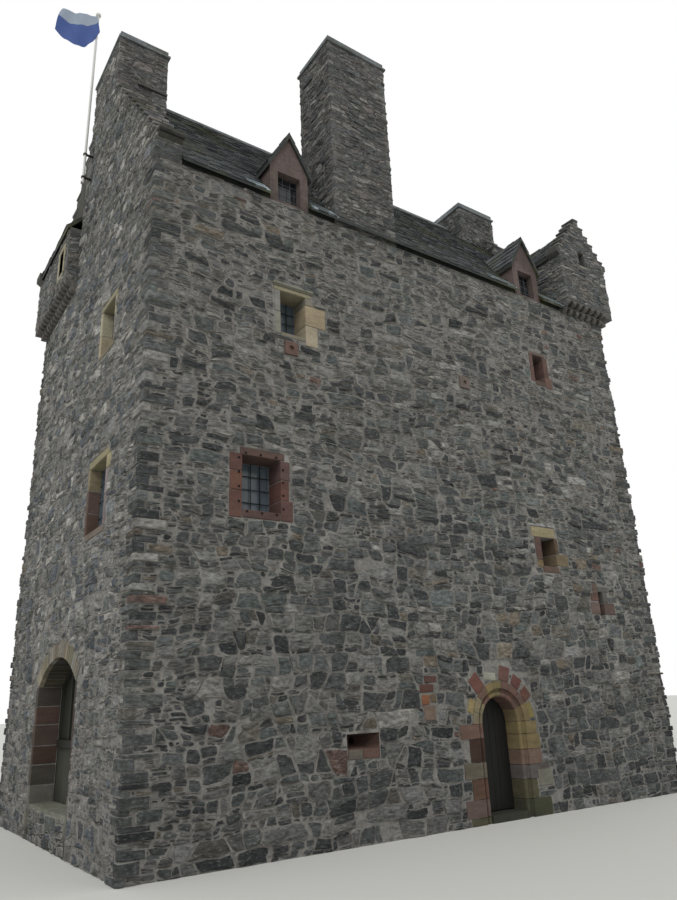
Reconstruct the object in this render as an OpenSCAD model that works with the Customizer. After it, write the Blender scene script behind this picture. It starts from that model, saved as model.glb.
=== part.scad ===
// A castle keep: a rubble tower house of four storeys with a slated roof, crow-stepped
// gables, three chimney stacks, two dormers, two corbelled corner turrets and a flagpole.
// The origin is the centre of the footprint at the lowest ground. The long front faces -Y,
// the near gable faces -X and Z is up. Lengths are in millimetres.

/* [Walls] */
// Length of the keep along its front
keep_l = 12000; // [11800:10:12600]
// Width of the keep across its gables
keep_w = 7650; // [7500:10:8100]
// Thickness of the outer walls
wall_t = 1350; // [1320:10:1450]
// Height of the wallhead above the lowest ground
wall_h = 11100; // [11000:10:11600]

/* [Floors] */
// Top of the ground floor
ground_floor_z = 550; // [500:10:560]
// Top of the first floor
first_floor_z = 3950; // [3850:10:4100]
// Top of the second floor
second_floor_z = 7250; // [7100:10:7500]
// Depth of the attic floor's top below the wallhead
attic_floor_drop = 800; // [700:10:900]
// Thickness of each floor
floor_t = 250; // [200:10:300]

/* [Roof] */
// Pitch of the main roof in degrees
roof_pitch = 50.9; // [50:0.1:52]
// Thickness of the main roof across its slope
roof_t = 255; // [245:5:270]
// How far the roof's foot sits in on the wallhead
roof_seat = 150; // [130:5:170]
// How far the slates reach past the wall
eave_over = 120; // [80:5:150]
// Depth of the slate edge at the eaves
eave_edge = 60; // [40:5:70]
// How far the eaves fill is set back from the wall
fill_back = 30; // [10:5:60]
// Thickness of the ridge stones
ridge_t = 45; // [30:5:60]
// Width of each arm of the ridge stones
ridge_arm = 190; // [150:10:240]
// Thickness of the lead
lead_t = 14; // [8:1:20]
// Width of each strip of lead up the slope
lead_w = 330; // [250:10:400]
// Length of the strip to the left of the left dormer
near_lead_l = 420; // [350:10:500]
// Length of the strip to the left of the right dormer
far_lead_l = 780; // [700:10:850]

/* [Crow-stepped gables] */
// Thickness of the stepped gable heads
skew_t = 450; // [400:10:500]
// Number of steps on each side of a gable
step_count = 13; // [11:1:15]
// How far the foot of each step stands over the slates
step_proud = 60; // [30:5:90]
// How far the lowest step reaches past the wall
skewputt_over = 90; // [50:5:120]
// Height of the lowest step's nose
skewputt_h = 200; // [150:5:230]

/* [Chimney stacks] */
// Thickness of the near stack along the roof
near_stack_t = 1138; // [1080:1:1200]
// Width of the near stack across the roof
near_stack_w = 1786; // [1700:1:1850]
// Height of the near stack's top over the ridge
near_stack_rise = 834; // [700:2:1200]
// Depth of the drip stones on the near stack's sides below its top
thackstane_drop = 1380; // [1300:10:1450]
// How far the drip stones reach out
thackstane_over = 70; // [50:5:90]
// Depth of the drip stones
thackstane_h = 90; // [70:5:110]
// Thickness of the far stack along the roof
far_stack_t = 1400; // [1300:10:1450]
// Width of the far stack across the roof
far_stack_w = 1440; // [1350:10:1550]
// Height of the far stack's top over the ridge
far_stack_rise = 504; // [450:2:900]
// Distance from the near gable to the middle stack
mid_stack_x = 3725; // [3700:5:3800]
// Length of the middle stack along the front
mid_stack_l = 1540; // [1450:10:1600]
// Depth of the middle stack
mid_stack_d = 1205; // [1150:5:1300]
// Height of the middle stack's top over the ridge
mid_stack_rise = 114; // [0:2:500]
// Thickness of the copes
cope_t = 190; // [150:5:220]
// Depth of the drip course at the foot of a cope
drip_t = 50; // [30:5:70]
// How far the drip course reaches out
drip_over = 45; // [20:5:60]

/* [Dormers] */
// Distance from the near gable to the left dormer's middle
left_dormer_x = 2650; // [2600:10:2700]
// Distance from the far gable to the right dormer's middle
right_dormer_x = 2690; // [2650:10:2760]
// Width of a dormer's front
dormer_w = 850; // [800:10:900]
// Height of a dormer's eaves over the wallhead
dormer_eave = 830; // [780:10:880]
// Pitch of a dormer's roof in degrees
dormer_pitch = 61; // [58:0.5:63]
// Thickness of a dormer's front
dormer_front_t = 320; // [280:10:350]
// How far a dormer's cheeks run back from the wall's face
dormer_cheek_l = 750; // [700:10:800]
// How far a dormer's roof runs back from the wall's face
dormer_roof_l = 1400; // [1350:10:1500]
// Thickness of a dormer's cheeks
dormer_cheek_t = 150; // [120:5:165]
// Thickness of a dormer's roof
dormer_roof_t = 55; // [40:5:70]
// How far a dormer's roof reaches past its walls
dormer_over = 60; // [40:5:80]
// Width of a dormer's window
dormer_light_w = 500; // [440:10:520]
// Height of a dormer's window
dormer_light_h = 670; // [600:10:700]
// Height of a dormer's sill over the wallhead
dormer_sill = 50; // [30:5:80]

/* [Corner turrets] */
// Width of a turret across its stepped gable
turret_w = 1750; // [1700:10:1800]
// Length of a turret along the main gable
turret_l = 2875; // [2750:5:2950]
// How far a turret stands out past both walls
turret_over = 250; // [230:5:260]
// Thickness of a turret's walls
turret_t = 350; // [300:5:380]
// Height of a turret's eaves over the wallhead
turret_eave = 1620; // [1550:10:1700]
// Pitch of a turret's roof in degrees
turret_pitch = 48; // [46:0.5:50]
// Thickness of a turret's roof
turret_roof_t = 80; // [60:5:100]
// How far a turret's slates reach past its side walls
turret_eave_over = 60; // [40:5:80]
// Number of steps on each side of a turret's gable
turret_steps = 5; // [4:1:6]
// Rise of a turret's steps
turret_rise = 208; // [195:1:215]
// Width of the stone at the top of a turret's gable
turret_apex_w = 190; // [160:10:220]
// Height of the lowest step's top over a turret's eaves
turret_first = 240; // [200:5:260]
// How far the lowest stone of a turret's gable reaches out
turret_putt_over = 110; // [90:5:130]
// Height of that stone
turret_putt_h = 150; // [120:5:180]
// Width of the turret's slit
slit_w = 220; // [180:10:260]
// Height of the turret's slit
slit_h = 430; // [380:10:480]
// Height of the slit's sill over the wallhead
slit_sill = 1440; // [1400:10:1500]
// Width of the window in a turret's long side
turret_light_w = 380; // [340:10:420]
// Height of the window in a turret's long side
turret_light_h = 640; // [600:10:680]
// Distance of that window's middle from the turret's inner end
turret_light_u = 560; // [520:10:640]
// Height of that window's sill over the wallhead
turret_light_sill = 620; // [580:10:680]

/* [Corbels] */
// How far the corbels start below the wallhead
corbel_drop = 50; // [30:5:80]
// Number of courses of corbels
corbel_courses = 2; // [2:1:3]
// Height of one course of corbels
corbel_h = 120; // [110:5:125]
// Thickness of the flat course over each row of corbels
corbel_slab = 30; // [20:1:35]
// Width of one corbel
corbel_w = 115; // [100:5:130]
// Distance from one corbel to the next
corbel_step = 205; // [190:5:230]

/* [Windows] */
// Depth of the dressed stones round a window of the long walls, to its frame
surround_t = 400; // [380:10:420]
// Depth of the dressed stones round a window of the gables, to its frame
gable_surround_t = 200; // [180:10:230]
// Thickness of a window's frame
frame_t = 60; // [50:5:70]
// Width of a window's frame
frame_w = 35; // [25:5:40]
// Thickness of the glass
glass_t = 10; // [6:1:14]
// Depth from the face at which the wall starts to widen
embrasure_start = 520; // [510:10:560]
// How far each side of an embrasure widens
embrasure_splay = 220; // [180:10:240]
// Height of the embrasure's head over the window
embrasure_head = 90; // [60:10:120]
// Reach of the hood over the upper front window
hood_over = 45; // [30:5:60]
// Depth of the hood stone
hood_h = 110; // [90:5:120]

/* [Window places] */
// Lower front window: distance from the near gable, sill, width and height
lower_front = [2015, 4980, 700, 900]; // [60:5:10000]
// Reach of its dressed stones to the left, to the right, over and under
lower_front_stones = [190, 190, 130, 190]; // [40:5:450]
// Upper front window: distance from the near gable, sill, width and height
upper_front = [2675, 8320, 520, 840]; // [60:5:10000]
// Reach of its dressed stones to the left, to the right, over and under
upper_front_stones = [160, 160, 120, 150]; // [40:5:450]
// Upper far window: distance from the far gable, sill, width and height
upper_far = [2670, 8910, 340, 650]; // [60:5:10000]
// Reach of its dressed stones to the left, to the right, over and under
upper_far_stones = [150, 240, 90, 90]; // [40:5:450]
// Lower far window: distance from the far gable, sill, width and height
lower_far = [3190, 4560, 420, 590]; // [60:5:10000]
// Reach of its dressed stones to the left, to the right, over and under
lower_far_stones = [190, 150, 220, 170]; // [40:5:450]
// Slit near the far corner: distance from the far gable, sill, width and height
far_slit = [1700, 3600, 150, 500]; // [60:5:10000]
// Reach of its dressed stones to the left, to the right, over and under
far_slit_stones = [200, 255, 240, 60]; // [40:5:450]
// Upper gable window: distance from the front corner, sill, width and height
upper_gable = [2205, 8370, 740, 920]; // [60:5:10000]
// Reach of its dressed stones to the left, to the right, over and under
upper_gable_stones = [150, 150, 130, 130]; // [40:5:450]
// Lower gable window: distance from the front corner, sill, width and height
lower_gable = [2155, 4940, 930, 1190]; // [60:5:10000]
// Reach of its dressed stones to the left, to the right, over and under
lower_gable_stones = [160, 160, 150, 140]; // [40:5:450]

/* [Side door] */
// Distance from the middle of the front to the side door's middle
side_door_x = 900; // [800:10:980]
// Width of the side door's opening
side_door_w = 890; // [860:10:900]
// Height of the opening's springing
side_door_spring = 1600; // [1560:10:1650]
// Top of the threshold
side_door_sill = 120; // [100:10:140]
// Width of the dressed stones round the side door
side_door_ring = 270; // [250:10:280]
// Depth of the dressed stones
side_door_t = 350; // [340:10:360]
// Radius of the roll along the door's edge
side_roll_r = 42; // [35:1:48]
// Radius of the hollow outside the roll
side_hollow_r = 60; // [50:1:68]
// Head of the passage behind the side door
side_passage_z = 2380; // [2340:10:2450]
// Thickness of the side door's leaf
side_leaf_t = 60; // [50:5:65]
// How far the leaf laps behind the stones
side_lap = 20; // [15:1:22]

/* [Gable door] */
// Distance of the gable door's middle from the centre line, towards the back
gable_door_y = -50; // [-90:10:0]
// Width of the gable door's opening
gable_door_w = 2500; // [2440:10:2560]
// Height of the springing
gable_door_spring = 2540; // [2500:10:2580]
// Rise of the arch
gable_door_rise = 460; // [420:10:480]
// Depth of the arch stones up the wall
gable_ring = 270; // [240:10:280]
// Depth of the arch stones into the wall
gable_ring_t = 420; // [400:10:450]
// Width of the jamb stones
gable_jamb_w = 400; // [395:5:430]
// How far the passage is set out from the opening
gable_passage_over = 170; // [150:5:200]
// Head of the passage behind the arch
gable_passage_z = 3150; // [3120:10:3250]
// Top of the gable door's threshold
gable_door_sill = 570; // [565:5:600]
// Thickness of the gable door's leaves
gable_leaf_t = 70; // [60:5:80]
// How far the leaves lap behind the stones
gable_lap = 20; // [15:1:25]
// Width of a leaf's stiles
stile_w = 110; // [90:5:130]
// Height of the rail over the lower panel
mid_rail_z = 1480; // [1400:10:1560]
// Depth of that rail
mid_rail_h = 130; // [100:5:150]
// Reach of the ledge on that rail
ledge_over = 60; // [40:5:80]
// Clearance round every leaf
leaf_gap = 12; // [10:1:14]
// Distance of a leaf's pivot from its edge and its inner face
pivot_in = 12; // [10:1:14]

/* [Gun loop] */
// Distance from the near gable to the gun loop
loop_x = 3800; // [3700:10:3900]
// Height of the gun loop's middle
loop_z = 1460; // [1400:10:1500]
// Width of the gun loop's mouth
loop_w = 620; // [580:10:640]
// Height of the gun loop's mouth
loop_h = 220; // [200:10:240]
// Radius of the throat
throat_r = 60; // [50:1:70]
// Depth of the throat
throat_d = 330; // [300:10:360]
// Width of the gun loop's stone
loop_stone_w = 760; // [720:10:800]
// Height of the gun loop's stone
loop_stone_h = 500; // [460:10:540]
// Depth of the gun loop's stone
loop_stone_t = 450; // [420:10:480]

/* [Small stones] */
// Width of a small stone with a round hole
boss_w = 260; // [240:10:280]
// How far it stands out
boss_t = 40; // [25:5:50]
// Radius of its hole
boss_hole_r = 45; // [35:1:55]
// Height of the stone under the upper window
low_boss_z = 8030; // [7900:10:8030]
// Height of the stone over the side door
high_boss_z = 8310; // [8100:10:8500]
// How far the two stones lie to the left of what is under or over them
boss_shift = 60; // [0:10:100]

/* [Flagpole] */
// Distance from the centre line to the pole
pole_y = 640; // [600:10:680]
// Distance from the gable to the pole's middle
pole_out = 200; // [180:5:220]
// Height of the pole's foot over the wallhead
pole_foot_rise = 2500; // [2400:10:2600]
// Length of the pole with its ball
pole_l = 5230; // [5000:10:5500]
// Radius of the pole
pole_r = 29; // [25:1:34]
// Radius of the ball
ball_r = 65; // [55:1:75]
// Height of the lower bracket over the pole's foot
bracket_low = 120; // [100:10:160]
// Height of the upper bracket over the lower one
bracket_rise = 650; // [600:10:700]
// Thickness of the brackets' iron
bracket_t = 40; // [30:5:45]
// Length of the flag
flag_l = 1250; // [1150:10:1300]
// Height of the flag, drooping folds and all
flag_h = 800; // [750:10:850]
// Thickness of the flag's folds
flag_t = 60; // [40:5:80]

/* [Hidden] */
$fn = 48;
half_l = keep_l / 2;
half_w = keep_w / 2;
in_l = half_l - wall_t;
in_w = half_w - wall_t;
cut = 1;
big = 30000;
seat_gap = 0.3;

// Main roof: heights of its underside and top, measured at a distance from the ridge
roof_slope = tan(roof_pitch);
roof_rise_t = roof_t / cos(roof_pitch);
function roof_under(d) = wall_h + (half_w - roof_seat - d) * roof_slope;
function roof_top(d) = roof_under(d) + roof_rise_t;

// Stepped gable heads
step_run = half_w / (step_count + 1);
step_rise = step_run * roof_slope;
step_z0 = roof_top(half_w) + step_rise + step_proud;

// Levels at which the stacks leave the gable heads, and their tops
near_stack_z = round(roof_top(near_stack_w / 2) + step_proud);
far_stack_z = round(roof_top(far_stack_w / 2) + step_proud);
ridge_z = round(roof_top(0));
near_stack_top = ridge_z + near_stack_rise;
far_stack_top = ridge_z + far_stack_rise;
mid_stack_top = ridge_z + mid_stack_rise;
thackstane_z = near_stack_top - thackstane_drop;
pole_foot = wall_h + pole_foot_rise;
pole_top = pole_foot + pole_l;
attic_floor_z = wall_h - attic_floor_drop;

// Turret at the front right corner, from its four outer planes
turret_x1 = half_l + turret_over;
turret_x0 = turret_x1 - turret_w;
turret_xm = (turret_x0 + turret_x1) / 2;
turret_y0 = -half_w - turret_over;
turret_y1 = turret_y0 + turret_l;
turret_eave_z = wall_h + turret_eave;
turret_slope = tan(turret_pitch);
turret_rise_t = turret_roof_t / cos(turret_pitch);
turret_run = (turret_w - turret_apex_w) / 2 / turret_steps;
corbel_top = wall_h - corbel_drop + corbel_courses * (corbel_h + corbel_slab);
corbel_reach = turret_over / corbel_courses;

// Dormers
dormer_slope = tan(dormer_pitch);
dormer_rise_t = dormer_roof_t / cos(dormer_pitch);
dormer_eave_z = wall_h + dormer_eave;
dormer_back = -half_w + dormer_roof_l;
left_dormer = left_dormer_x - half_l;
right_dormer = half_l - right_dormer_x;

// Side door
side_cx = side_door_x;
side_r = side_door_w / 2;
side_split = side_r + side_door_ring + 20;

// Gable door, with the centre of its arch below the springing
arch_r = (pow(gable_door_w / 2, 2) + pow(gable_door_rise, 2)) / (2 * gable_door_rise);
arch_z = gable_door_spring + gable_door_rise - arch_r;
gable_half = gable_door_w / 2;
gable_split = gable_half + gable_jamb_w;
gable_passage = gable_half + gable_passage_over;
gable_leaf_half = gable_half + gable_lap;

// Windows: place along the wall, sill, width, height, then the reach of the dressed
// stones to the left, to the right, over and under the opening, and their depth
function from_near(win, stones) =
    concat([win[0] - half_l, win[1], win[2], win[3]], stones, surround_t);
function from_far(win, stones) =
    concat([half_l - win[0], win[1], win[2], win[3]], stones, surround_t);
front_near = [
    from_near(lower_front, lower_front_stones),
    from_near(upper_front, upper_front_stones)];
front_far = [
    from_far(upper_far, upper_far_stones),
    from_far(lower_far, lower_far_stones),
    from_far(far_slit, far_slit_stones)];
function from_front(win, stones) =
    concat([half_w - win[0], win[1], win[2], win[3]], stones, gable_surround_t);
gable_wins = [
    from_front(upper_gable, upper_gable_stones),
    from_front(lower_gable, lower_gable_stones)];

// A box from its lowest to its highest corner
module block(a, b) { translate(a) cube(b - a); }

// A flat shape in Y and Z, drawn out along X
module along_x(x0, x1) {
    translate([x0, 0, 0]) rotate([90, 0, 90]) linear_extrude(x1 - x0) children();
}

// A flat shape in X and Z, drawn out along Y
module along_y(y0, y1) {
    translate([0, y1, 0]) rotate([90, 0, 0]) linear_extrude(y1 - y0) children();
}

// Each wall seen from outside: X runs along it to the right, Y into it
module on_front() { translate([0, -half_w, 0]) children(); }
module on_near_gable() { translate([-half_l, 0, 0]) rotate([0, 0, -90]) children(); }
module turned() { rotate([0, 0, 180]) children(); }

// Everything under the top of the main roof between two places along it
module under_roof(x0, x1) {
    foot = roof_top(0) / roof_slope;
    along_x(x0, x1) polygon([[-foot, 0], [foot, 0], [0, roof_top(0)]]);
}

// Windows
module window_light(win, d0, d1) {
    block([win[0] - win[2] / 2, d0, win[1]], [win[0] + win[2] / 2, d1, win[1] + win[3]]);
}

module window_rebate(win, d0) {
    block([win[0] - win[2] / 2 - win[4], d0, win[1] - win[7]],
        [win[0] + win[2] / 2 + win[5], win[8], win[1] + win[3] + win[6]]);
}

module window_hole(win) {
    window_rebate(win, -cut);
    window_light(win, -cut, wall_t + cut);
    translate([win[0], 0, win[1]]) linear_extrude(win[3] + embrasure_head) polygon([
        [-win[2] / 2, embrasure_start],
        [win[2] / 2, embrasure_start],
        [win[2] / 2 + embrasure_splay, wall_t + cut],
        [-win[2] / 2 - embrasure_splay, wall_t + cut]]);
}

module window_stones(win) {
    difference() {
        window_rebate(win, 0);
        window_light(win, -cut, win[8] + cut);
    }
}

module window_frame(win) {
    mid = win[8] + frame_t / 2;
    difference() {
        window_light(win, win[8], win[8] + frame_t);
        block([win[0] - win[2] / 2 + frame_w, win[8] - cut, win[1] + frame_w],
            [win[0] + win[2] / 2 - frame_w, win[8] + frame_t + cut,
            win[1] + win[3] - frame_w]);
    }
    block([win[0] - win[2] / 2 + frame_w, mid - glass_t / 2, win[1] + frame_w],
        [win[0] + win[2] / 2 - frame_w, mid + glass_t / 2, win[1] + win[3] - frame_w]);
}

// A moulded hood over the upper window of the front
module hood(win) {
    block([win[0] - win[2] / 2 - win[4], -hood_over, win[1] + win[3] + win[6] - hood_h],
        [win[0] + win[2] / 2 + win[5], 0, win[1] + win[3] + win[6]]);
}

// Gun loop: a wide mouth narrowing to a round throat
module loop_taper(w0, h0, w1, h1, d0, d1) {
    intersection() {
        translate([0, 0, -big / 2]) linear_extrude(big) polygon([
            [-w0 / 2, d0], [w0 / 2, d0], [w1 / 2, d1], [-w1 / 2, d1]]);
        along_x(-big / 2, big / 2) polygon([
            [d0, -h0 / 2], [d0, h0 / 2], [d1, h1 / 2], [d1, -h1 / 2]]);
    }
}

module loop_void() {
    translate([loop_x - half_l, 0, loop_z]) {
        loop_taper(loop_w, loop_h, 2 * throat_r, 2 * throat_r, 0, throat_d);
        rotate([-90, 0, 0]) cylinder(r = throat_r, h = wall_t);
        loop_taper(2 * throat_r, 2 * throat_r, loop_w, 2 * loop_h, loop_stone_t, wall_t);
    }
}

module loop_block() {
    translate([loop_x - half_l, 0, loop_z])
        block([-loop_stone_w / 2, 0, -loop_stone_h / 2],
            [loop_stone_w / 2, loop_stone_t, loop_stone_h / 2]);
}

module gun_loop() {
    color("#7d5a4c") on_front() difference() {
        loop_block();
        loop_void();
    }
}

// Front wall, in two parts beside the side door and one over it
module front_wall_left() {
    color("#77756d") on_front() difference() {
        block([-in_l, 0, 0], [side_cx - side_split, wall_t, wall_h]);
        for (win = front_near) window_hole(win);
        loop_block();
        loop_void();
    }
}

module front_wall_right() {
    color("#77756d") on_front() difference() {
        block([side_cx + side_split, 0, 0], [in_l, wall_t, wall_h]);
        for (win = front_far) window_hole(win);
    }
}

module front_wall_over_door() {
    color("#77756d") on_front() difference() {
        block([side_cx - side_split, 0, side_door_spring],
            [side_cx + side_split, wall_t, wall_h]);
        translate([side_cx, -cut, side_door_spring]) rotate([-90, 0, 0])
            cylinder(r = side_r + side_door_ring, h = side_door_t + cut);
        block([side_cx - side_split - cut, side_door_t, 0],
            [side_cx + side_split + cut, wall_t + cut, side_passage_z]);
    }
}

// Gable walls, which run through to the corners of the keep
module near_gable_wall() {
    color("#77756d") on_near_gable() difference() {
        block([-half_w, 0, gable_door_spring], [half_w, wall_t, wall_h]);
        for (win = gable_wins) window_hole(win);
        translate([-gable_door_y, -cut, arch_z]) rotate([-90, 0, 0])
            cylinder(r = arch_r + gable_ring, h = gable_ring_t + cut, $fn = 96);
        block([-gable_door_y - gable_passage, gable_ring_t, 0],
            [-gable_door_y + gable_passage, wall_t + cut, gable_passage_z]);
    }
}

module near_gable_wall_sides() {
    color("#77756d") on_near_gable() {
        block([-half_w, 0, 0], [-gable_door_y - gable_split, wall_t, gable_door_spring]);
        block([-gable_door_y + gable_split, 0, 0], [half_w, wall_t, gable_door_spring]);
    }
}

module far_gable_wall() {
    color("#77756d") turned() on_near_gable() difference() {
        block([-half_w, 0, 0], [half_w, wall_t, wall_h]);
        for (win = gable_wins) window_hole(win);
    }
}

module back_wall() {
    color("#77756d") turned() on_front() difference() {
        block([-in_l, 0, 0], [in_l, wall_t, wall_h]);
        for (win = front_near) window_hole(win);
        for (win = front_far) window_hole(win);
    }
}

// Gable heads with crow steps, cut away where a stack or a turret stands
module near_crow_steps() {
    color("#6f6d64") difference() {
        stepped_gable(near_stack_w, near_stack_z);
        turned() turret_envelope();
    }
}

module far_crow_steps() {
    color("#6f6d64") difference() {
        turned() stepped_gable(far_stack_w, far_stack_z);
        turret_envelope();
    }
}

// One gable head: a single stepped outline, flat on top where its stack stands
module stepped_gable(stack_w, stack_z) {
    left = [for (i = [0:step_count]) each [
        [-half_w + i * step_run, i == 0 ? wall_h : step_z0 + (i - 1) * step_rise],
        [-half_w + i * step_run, step_z0 + i * step_rise]]];
    right = [for (i = [len(left) - 1:-1:0]) [-left[i][0], left[i][1]]];
    difference() {
        along_x(-half_l, -half_l + skew_t) polygon(concat(left, right));
        block([-half_l - cut, -stack_w / 2, stack_z], [-half_l + skew_t + cut, stack_w / 2, big]);
    }
    for (side = [-1, 1]) along_x(-half_l, -half_l + skew_t) polygon([
        [side * half_w, step_z0 - skewputt_h],
        [side * (half_w + skewputt_over), step_z0 - skewputt_h / 2],
        [side * (half_w + skewputt_over), step_z0],
        [side * half_w, step_z0]]);
}

// Floors
module floor_slab(top) { block([-in_l, -in_w, top - floor_t], [in_l, in_w, top]); }

module ground_floor() { color("#6a675f") floor_slab(ground_floor_z); }

module upper_floors() {
    color("#7a5f45") for (top = [first_floor_z, second_floor_z, attic_floor_z])
        floor_slab(top);
}

// One slope of the main roof, from the eaves on the -Y side to the ridge
module slope_slab() {
    x = half_l - skew_t;
    d = half_w - fill_back;
    along_x(-x, x) polygon([
        [-half_w - eave_over, roof_top(half_w + eave_over)],
        [-half_w - eave_over, roof_top(half_w + eave_over) - eave_edge],
        [-d, roof_top(d) - eave_edge / cos(roof_pitch)],
        [-d, wall_h],
        [-half_w + roof_seat, wall_h],
        [0, roof_under(0)],
        [0, roof_top(0)]]);
}

module stack_shafts() {
    near_shaft();
    far_shaft();
    mid_shaft();
}

module roof_front_slope() {
    color("#3f4642") difference() {
        slope_slab();
        stack_shafts();
        turret_envelope();
        for (x = [left_dormer, right_dormer]) dormer_envelope(x);
    }
}

module roof_back_slope() {
    color("#3f4642") difference() {
        turned() slope_slab();
        stack_shafts();
        turned() turret_envelope();
    }
}

module roof_ridge() {
    reach = ridge_arm * cos(roof_pitch);
    drop = ridge_arm * sin(roof_pitch);
    x0 = -half_l + near_stack_t;
    x1 = half_l - far_stack_t;
    color("#565b55") along_x(x0, x1) polygon([
        [0, roof_top(0)],
        [reach, roof_top(0) - drop],
        [reach, roof_top(0) - drop + ridge_t / cos(roof_pitch)],
        [0, roof_top(0) + ridge_t / cos(roof_pitch)],
        [-reach, roof_top(0) - drop + ridge_t / cos(roof_pitch)],
        [-reach, roof_top(0) - drop]]);
}

// Strips of lead on the foot of the slates beside the dormers
module lead_strip(x0, x1) {
    up = lead_w * cos(roof_pitch);
    foot = half_w + eave_over;
    rise = lead_t / cos(roof_pitch);
    along_x(x0, x1) polygon([
        [-foot, roof_top(foot)],
        [-foot + up, roof_top(foot - up)],
        [-foot + up, roof_top(foot - up) + rise],
        [-foot, roof_top(foot) + rise]]);
}

module lead_flashings() {
    side = dormer_w / 2 + dormer_over;
    color("#8b99a1") {
        lead_strip(left_dormer - side - near_lead_l, left_dormer - side);
        lead_strip(left_dormer + side, mid_stack_x - half_l);
        lead_strip(right_dormer - side - far_lead_l, right_dormer - side);
        lead_strip(right_dormer + side, turret_x0);
    }
}

// Chimney stacks
module near_shaft() {
    block([-half_l, -near_stack_w / 2, near_stack_z],
        [-half_l + near_stack_t, near_stack_w / 2, near_stack_top - cope_t]);
    block([-half_l + skew_t, -near_stack_w / 2, wall_h],
        [-half_l + near_stack_t, near_stack_w / 2, near_stack_top - cope_t]);
}

module far_shaft() {
    block([half_l - far_stack_t, -far_stack_w / 2, far_stack_z],
        [half_l, far_stack_w / 2, far_stack_top - cope_t]);
    block([half_l - far_stack_t, -far_stack_w / 2, wall_h],
        [half_l - skew_t, far_stack_w / 2, far_stack_top - cope_t]);
}

module mid_shaft() {
    block([mid_stack_x - half_l, -half_w, wall_h],
        [mid_stack_x - half_l + mid_stack_l, -half_w + mid_stack_d, mid_stack_top - cope_t]);
}

module near_stack() {
    color("#6b6960") {
        near_shaft();
        for (side = [0, 1]) mirror([0, side, 0])
            along_x(-half_l + skew_t, -half_l + near_stack_t) polygon([
                [near_stack_w / 2 - cut, thackstane_z],
                [near_stack_w / 2 + thackstane_over, thackstane_z],
                [near_stack_w / 2 + thackstane_over, thackstane_z + thackstane_h / 2],
                [near_stack_w / 2, thackstane_z + thackstane_h],
                [near_stack_w / 2 - cut, thackstane_z + thackstane_h]]);
    }
}
module middle_stack() { color("#6b6960") mid_shaft(); }
module far_stack() { color("#6b6960") far_shaft(); }

// A cope with a drip course at its foot
module cope(x0, x1, y0, y1, top) {
    block([x0, y0, top - cope_t], [x1, y1, top]);
    block([x0 - drip_over, y0 - drip_over, top - cope_t],
        [x1 + drip_over, y1 + drip_over, top - cope_t + drip_t]);
}

module stack_copes() {
    color("#585a50") {
        cope(-half_l, -half_l + near_stack_t, -near_stack_w / 2, near_stack_w / 2,
            near_stack_top);
        cope(half_l - far_stack_t, half_l, -far_stack_w / 2, far_stack_w / 2,
            far_stack_top);
        cope(mid_stack_x - half_l, mid_stack_x - half_l + mid_stack_l, -half_w,
            -half_w + mid_stack_d, mid_stack_top);
    }
}

// Dormers: a five-sided outline, its roof and its front and cheeks
function dormer_apex(grow) = dormer_eave_z + (dormer_w / 2) * dormer_slope + grow;

module dormer_outline(grow) {
    half = dormer_w / 2;
    polygon([
        [-half, wall_h],
        [half, wall_h],
        [half, dormer_eave_z + grow],
        [0, dormer_apex(grow)],
        [-half, dormer_eave_z + grow]]);
}

module dormer_roof_outline() {
    reach = dormer_w / 2 + dormer_over;
    foot = dormer_eave_z - dormer_over * dormer_slope;
    polygon([
        [-reach, foot],
        [0, dormer_apex(0)],
        [reach, foot],
        [reach, foot + dormer_rise_t],
        [0, dormer_apex(dormer_rise_t)],
        [-reach, foot + dormer_rise_t]]);
}

// The whole section of a dormer with its roof, for the hole that it needs in the slates
module dormer_envelope(x) {
    reach = dormer_w / 2 + dormer_over;
    foot = dormer_eave_z - dormer_over * dormer_slope;
    translate([x, 0, 0]) along_y(-half_w - eave_over - cut, dormer_back) polygon([
        [-dormer_w / 2, wall_h - cut],
        [dormer_w / 2, wall_h - cut],
        [dormer_w / 2, dormer_eave_z],
        [reach, foot],
        [reach, foot + dormer_rise_t],
        [0, dormer_apex(dormer_rise_t)],
        [-reach, foot + dormer_rise_t],
        [-reach, foot],
        [-dormer_w / 2, dormer_eave_z]]);
}

module dormer(x) {
    half = dormer_w / 2;
    inner = half - dormer_cheek_t;
    translate([x, 0, 0]) difference() {
        along_y(-half_w, -half_w + dormer_cheek_l) dormer_outline(0);
        translate([0, -half_w, 0]) block([-inner, dormer_front_t, wall_h - cut],
            [inner, dormer_cheek_l + cut, big]);
        translate([0, -half_w, 0]) block([-dormer_light_w / 2, -cut, wall_h + dormer_sill],
            [dormer_light_w / 2, dormer_front_t + cut, wall_h + dormer_sill + dormer_light_h]);
    }
}

module left_dormer() { color("#8a6259") dormer(left_dormer); }
module right_dormer() { color("#8a6259") dormer(right_dormer); }

module dormer_roofs() {
    color("#444b46") for (x = [left_dormer, right_dormer]) difference() {
        translate([x, 0, 0])
            along_y(-half_w - dormer_over, dormer_back) dormer_roof_outline();
        under_roof(-half_l, half_l);
    }
}

// Turrets
function turret_apex(grow) = turret_eave_z + turret_w / 2 * turret_slope + grow;

module turret_outline() {
    reach = turret_w / 2 + turret_eave_over;
    foot = turret_eave_z - turret_eave_over * turret_slope;
    translate([turret_xm, 0]) polygon([
        [-turret_w / 2, wall_h],
        [turret_w / 2, wall_h],
        [turret_w / 2, turret_eave_z],
        [reach, foot],
        [reach, foot + turret_rise_t],
        [0, turret_apex(turret_rise_t)],
        [-reach, foot + turret_rise_t],
        [-reach, foot],
        [-turret_w / 2, turret_eave_z]]);
}

module turret_envelope() { along_y(turret_y0, turret_y1) turret_outline(); }

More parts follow.
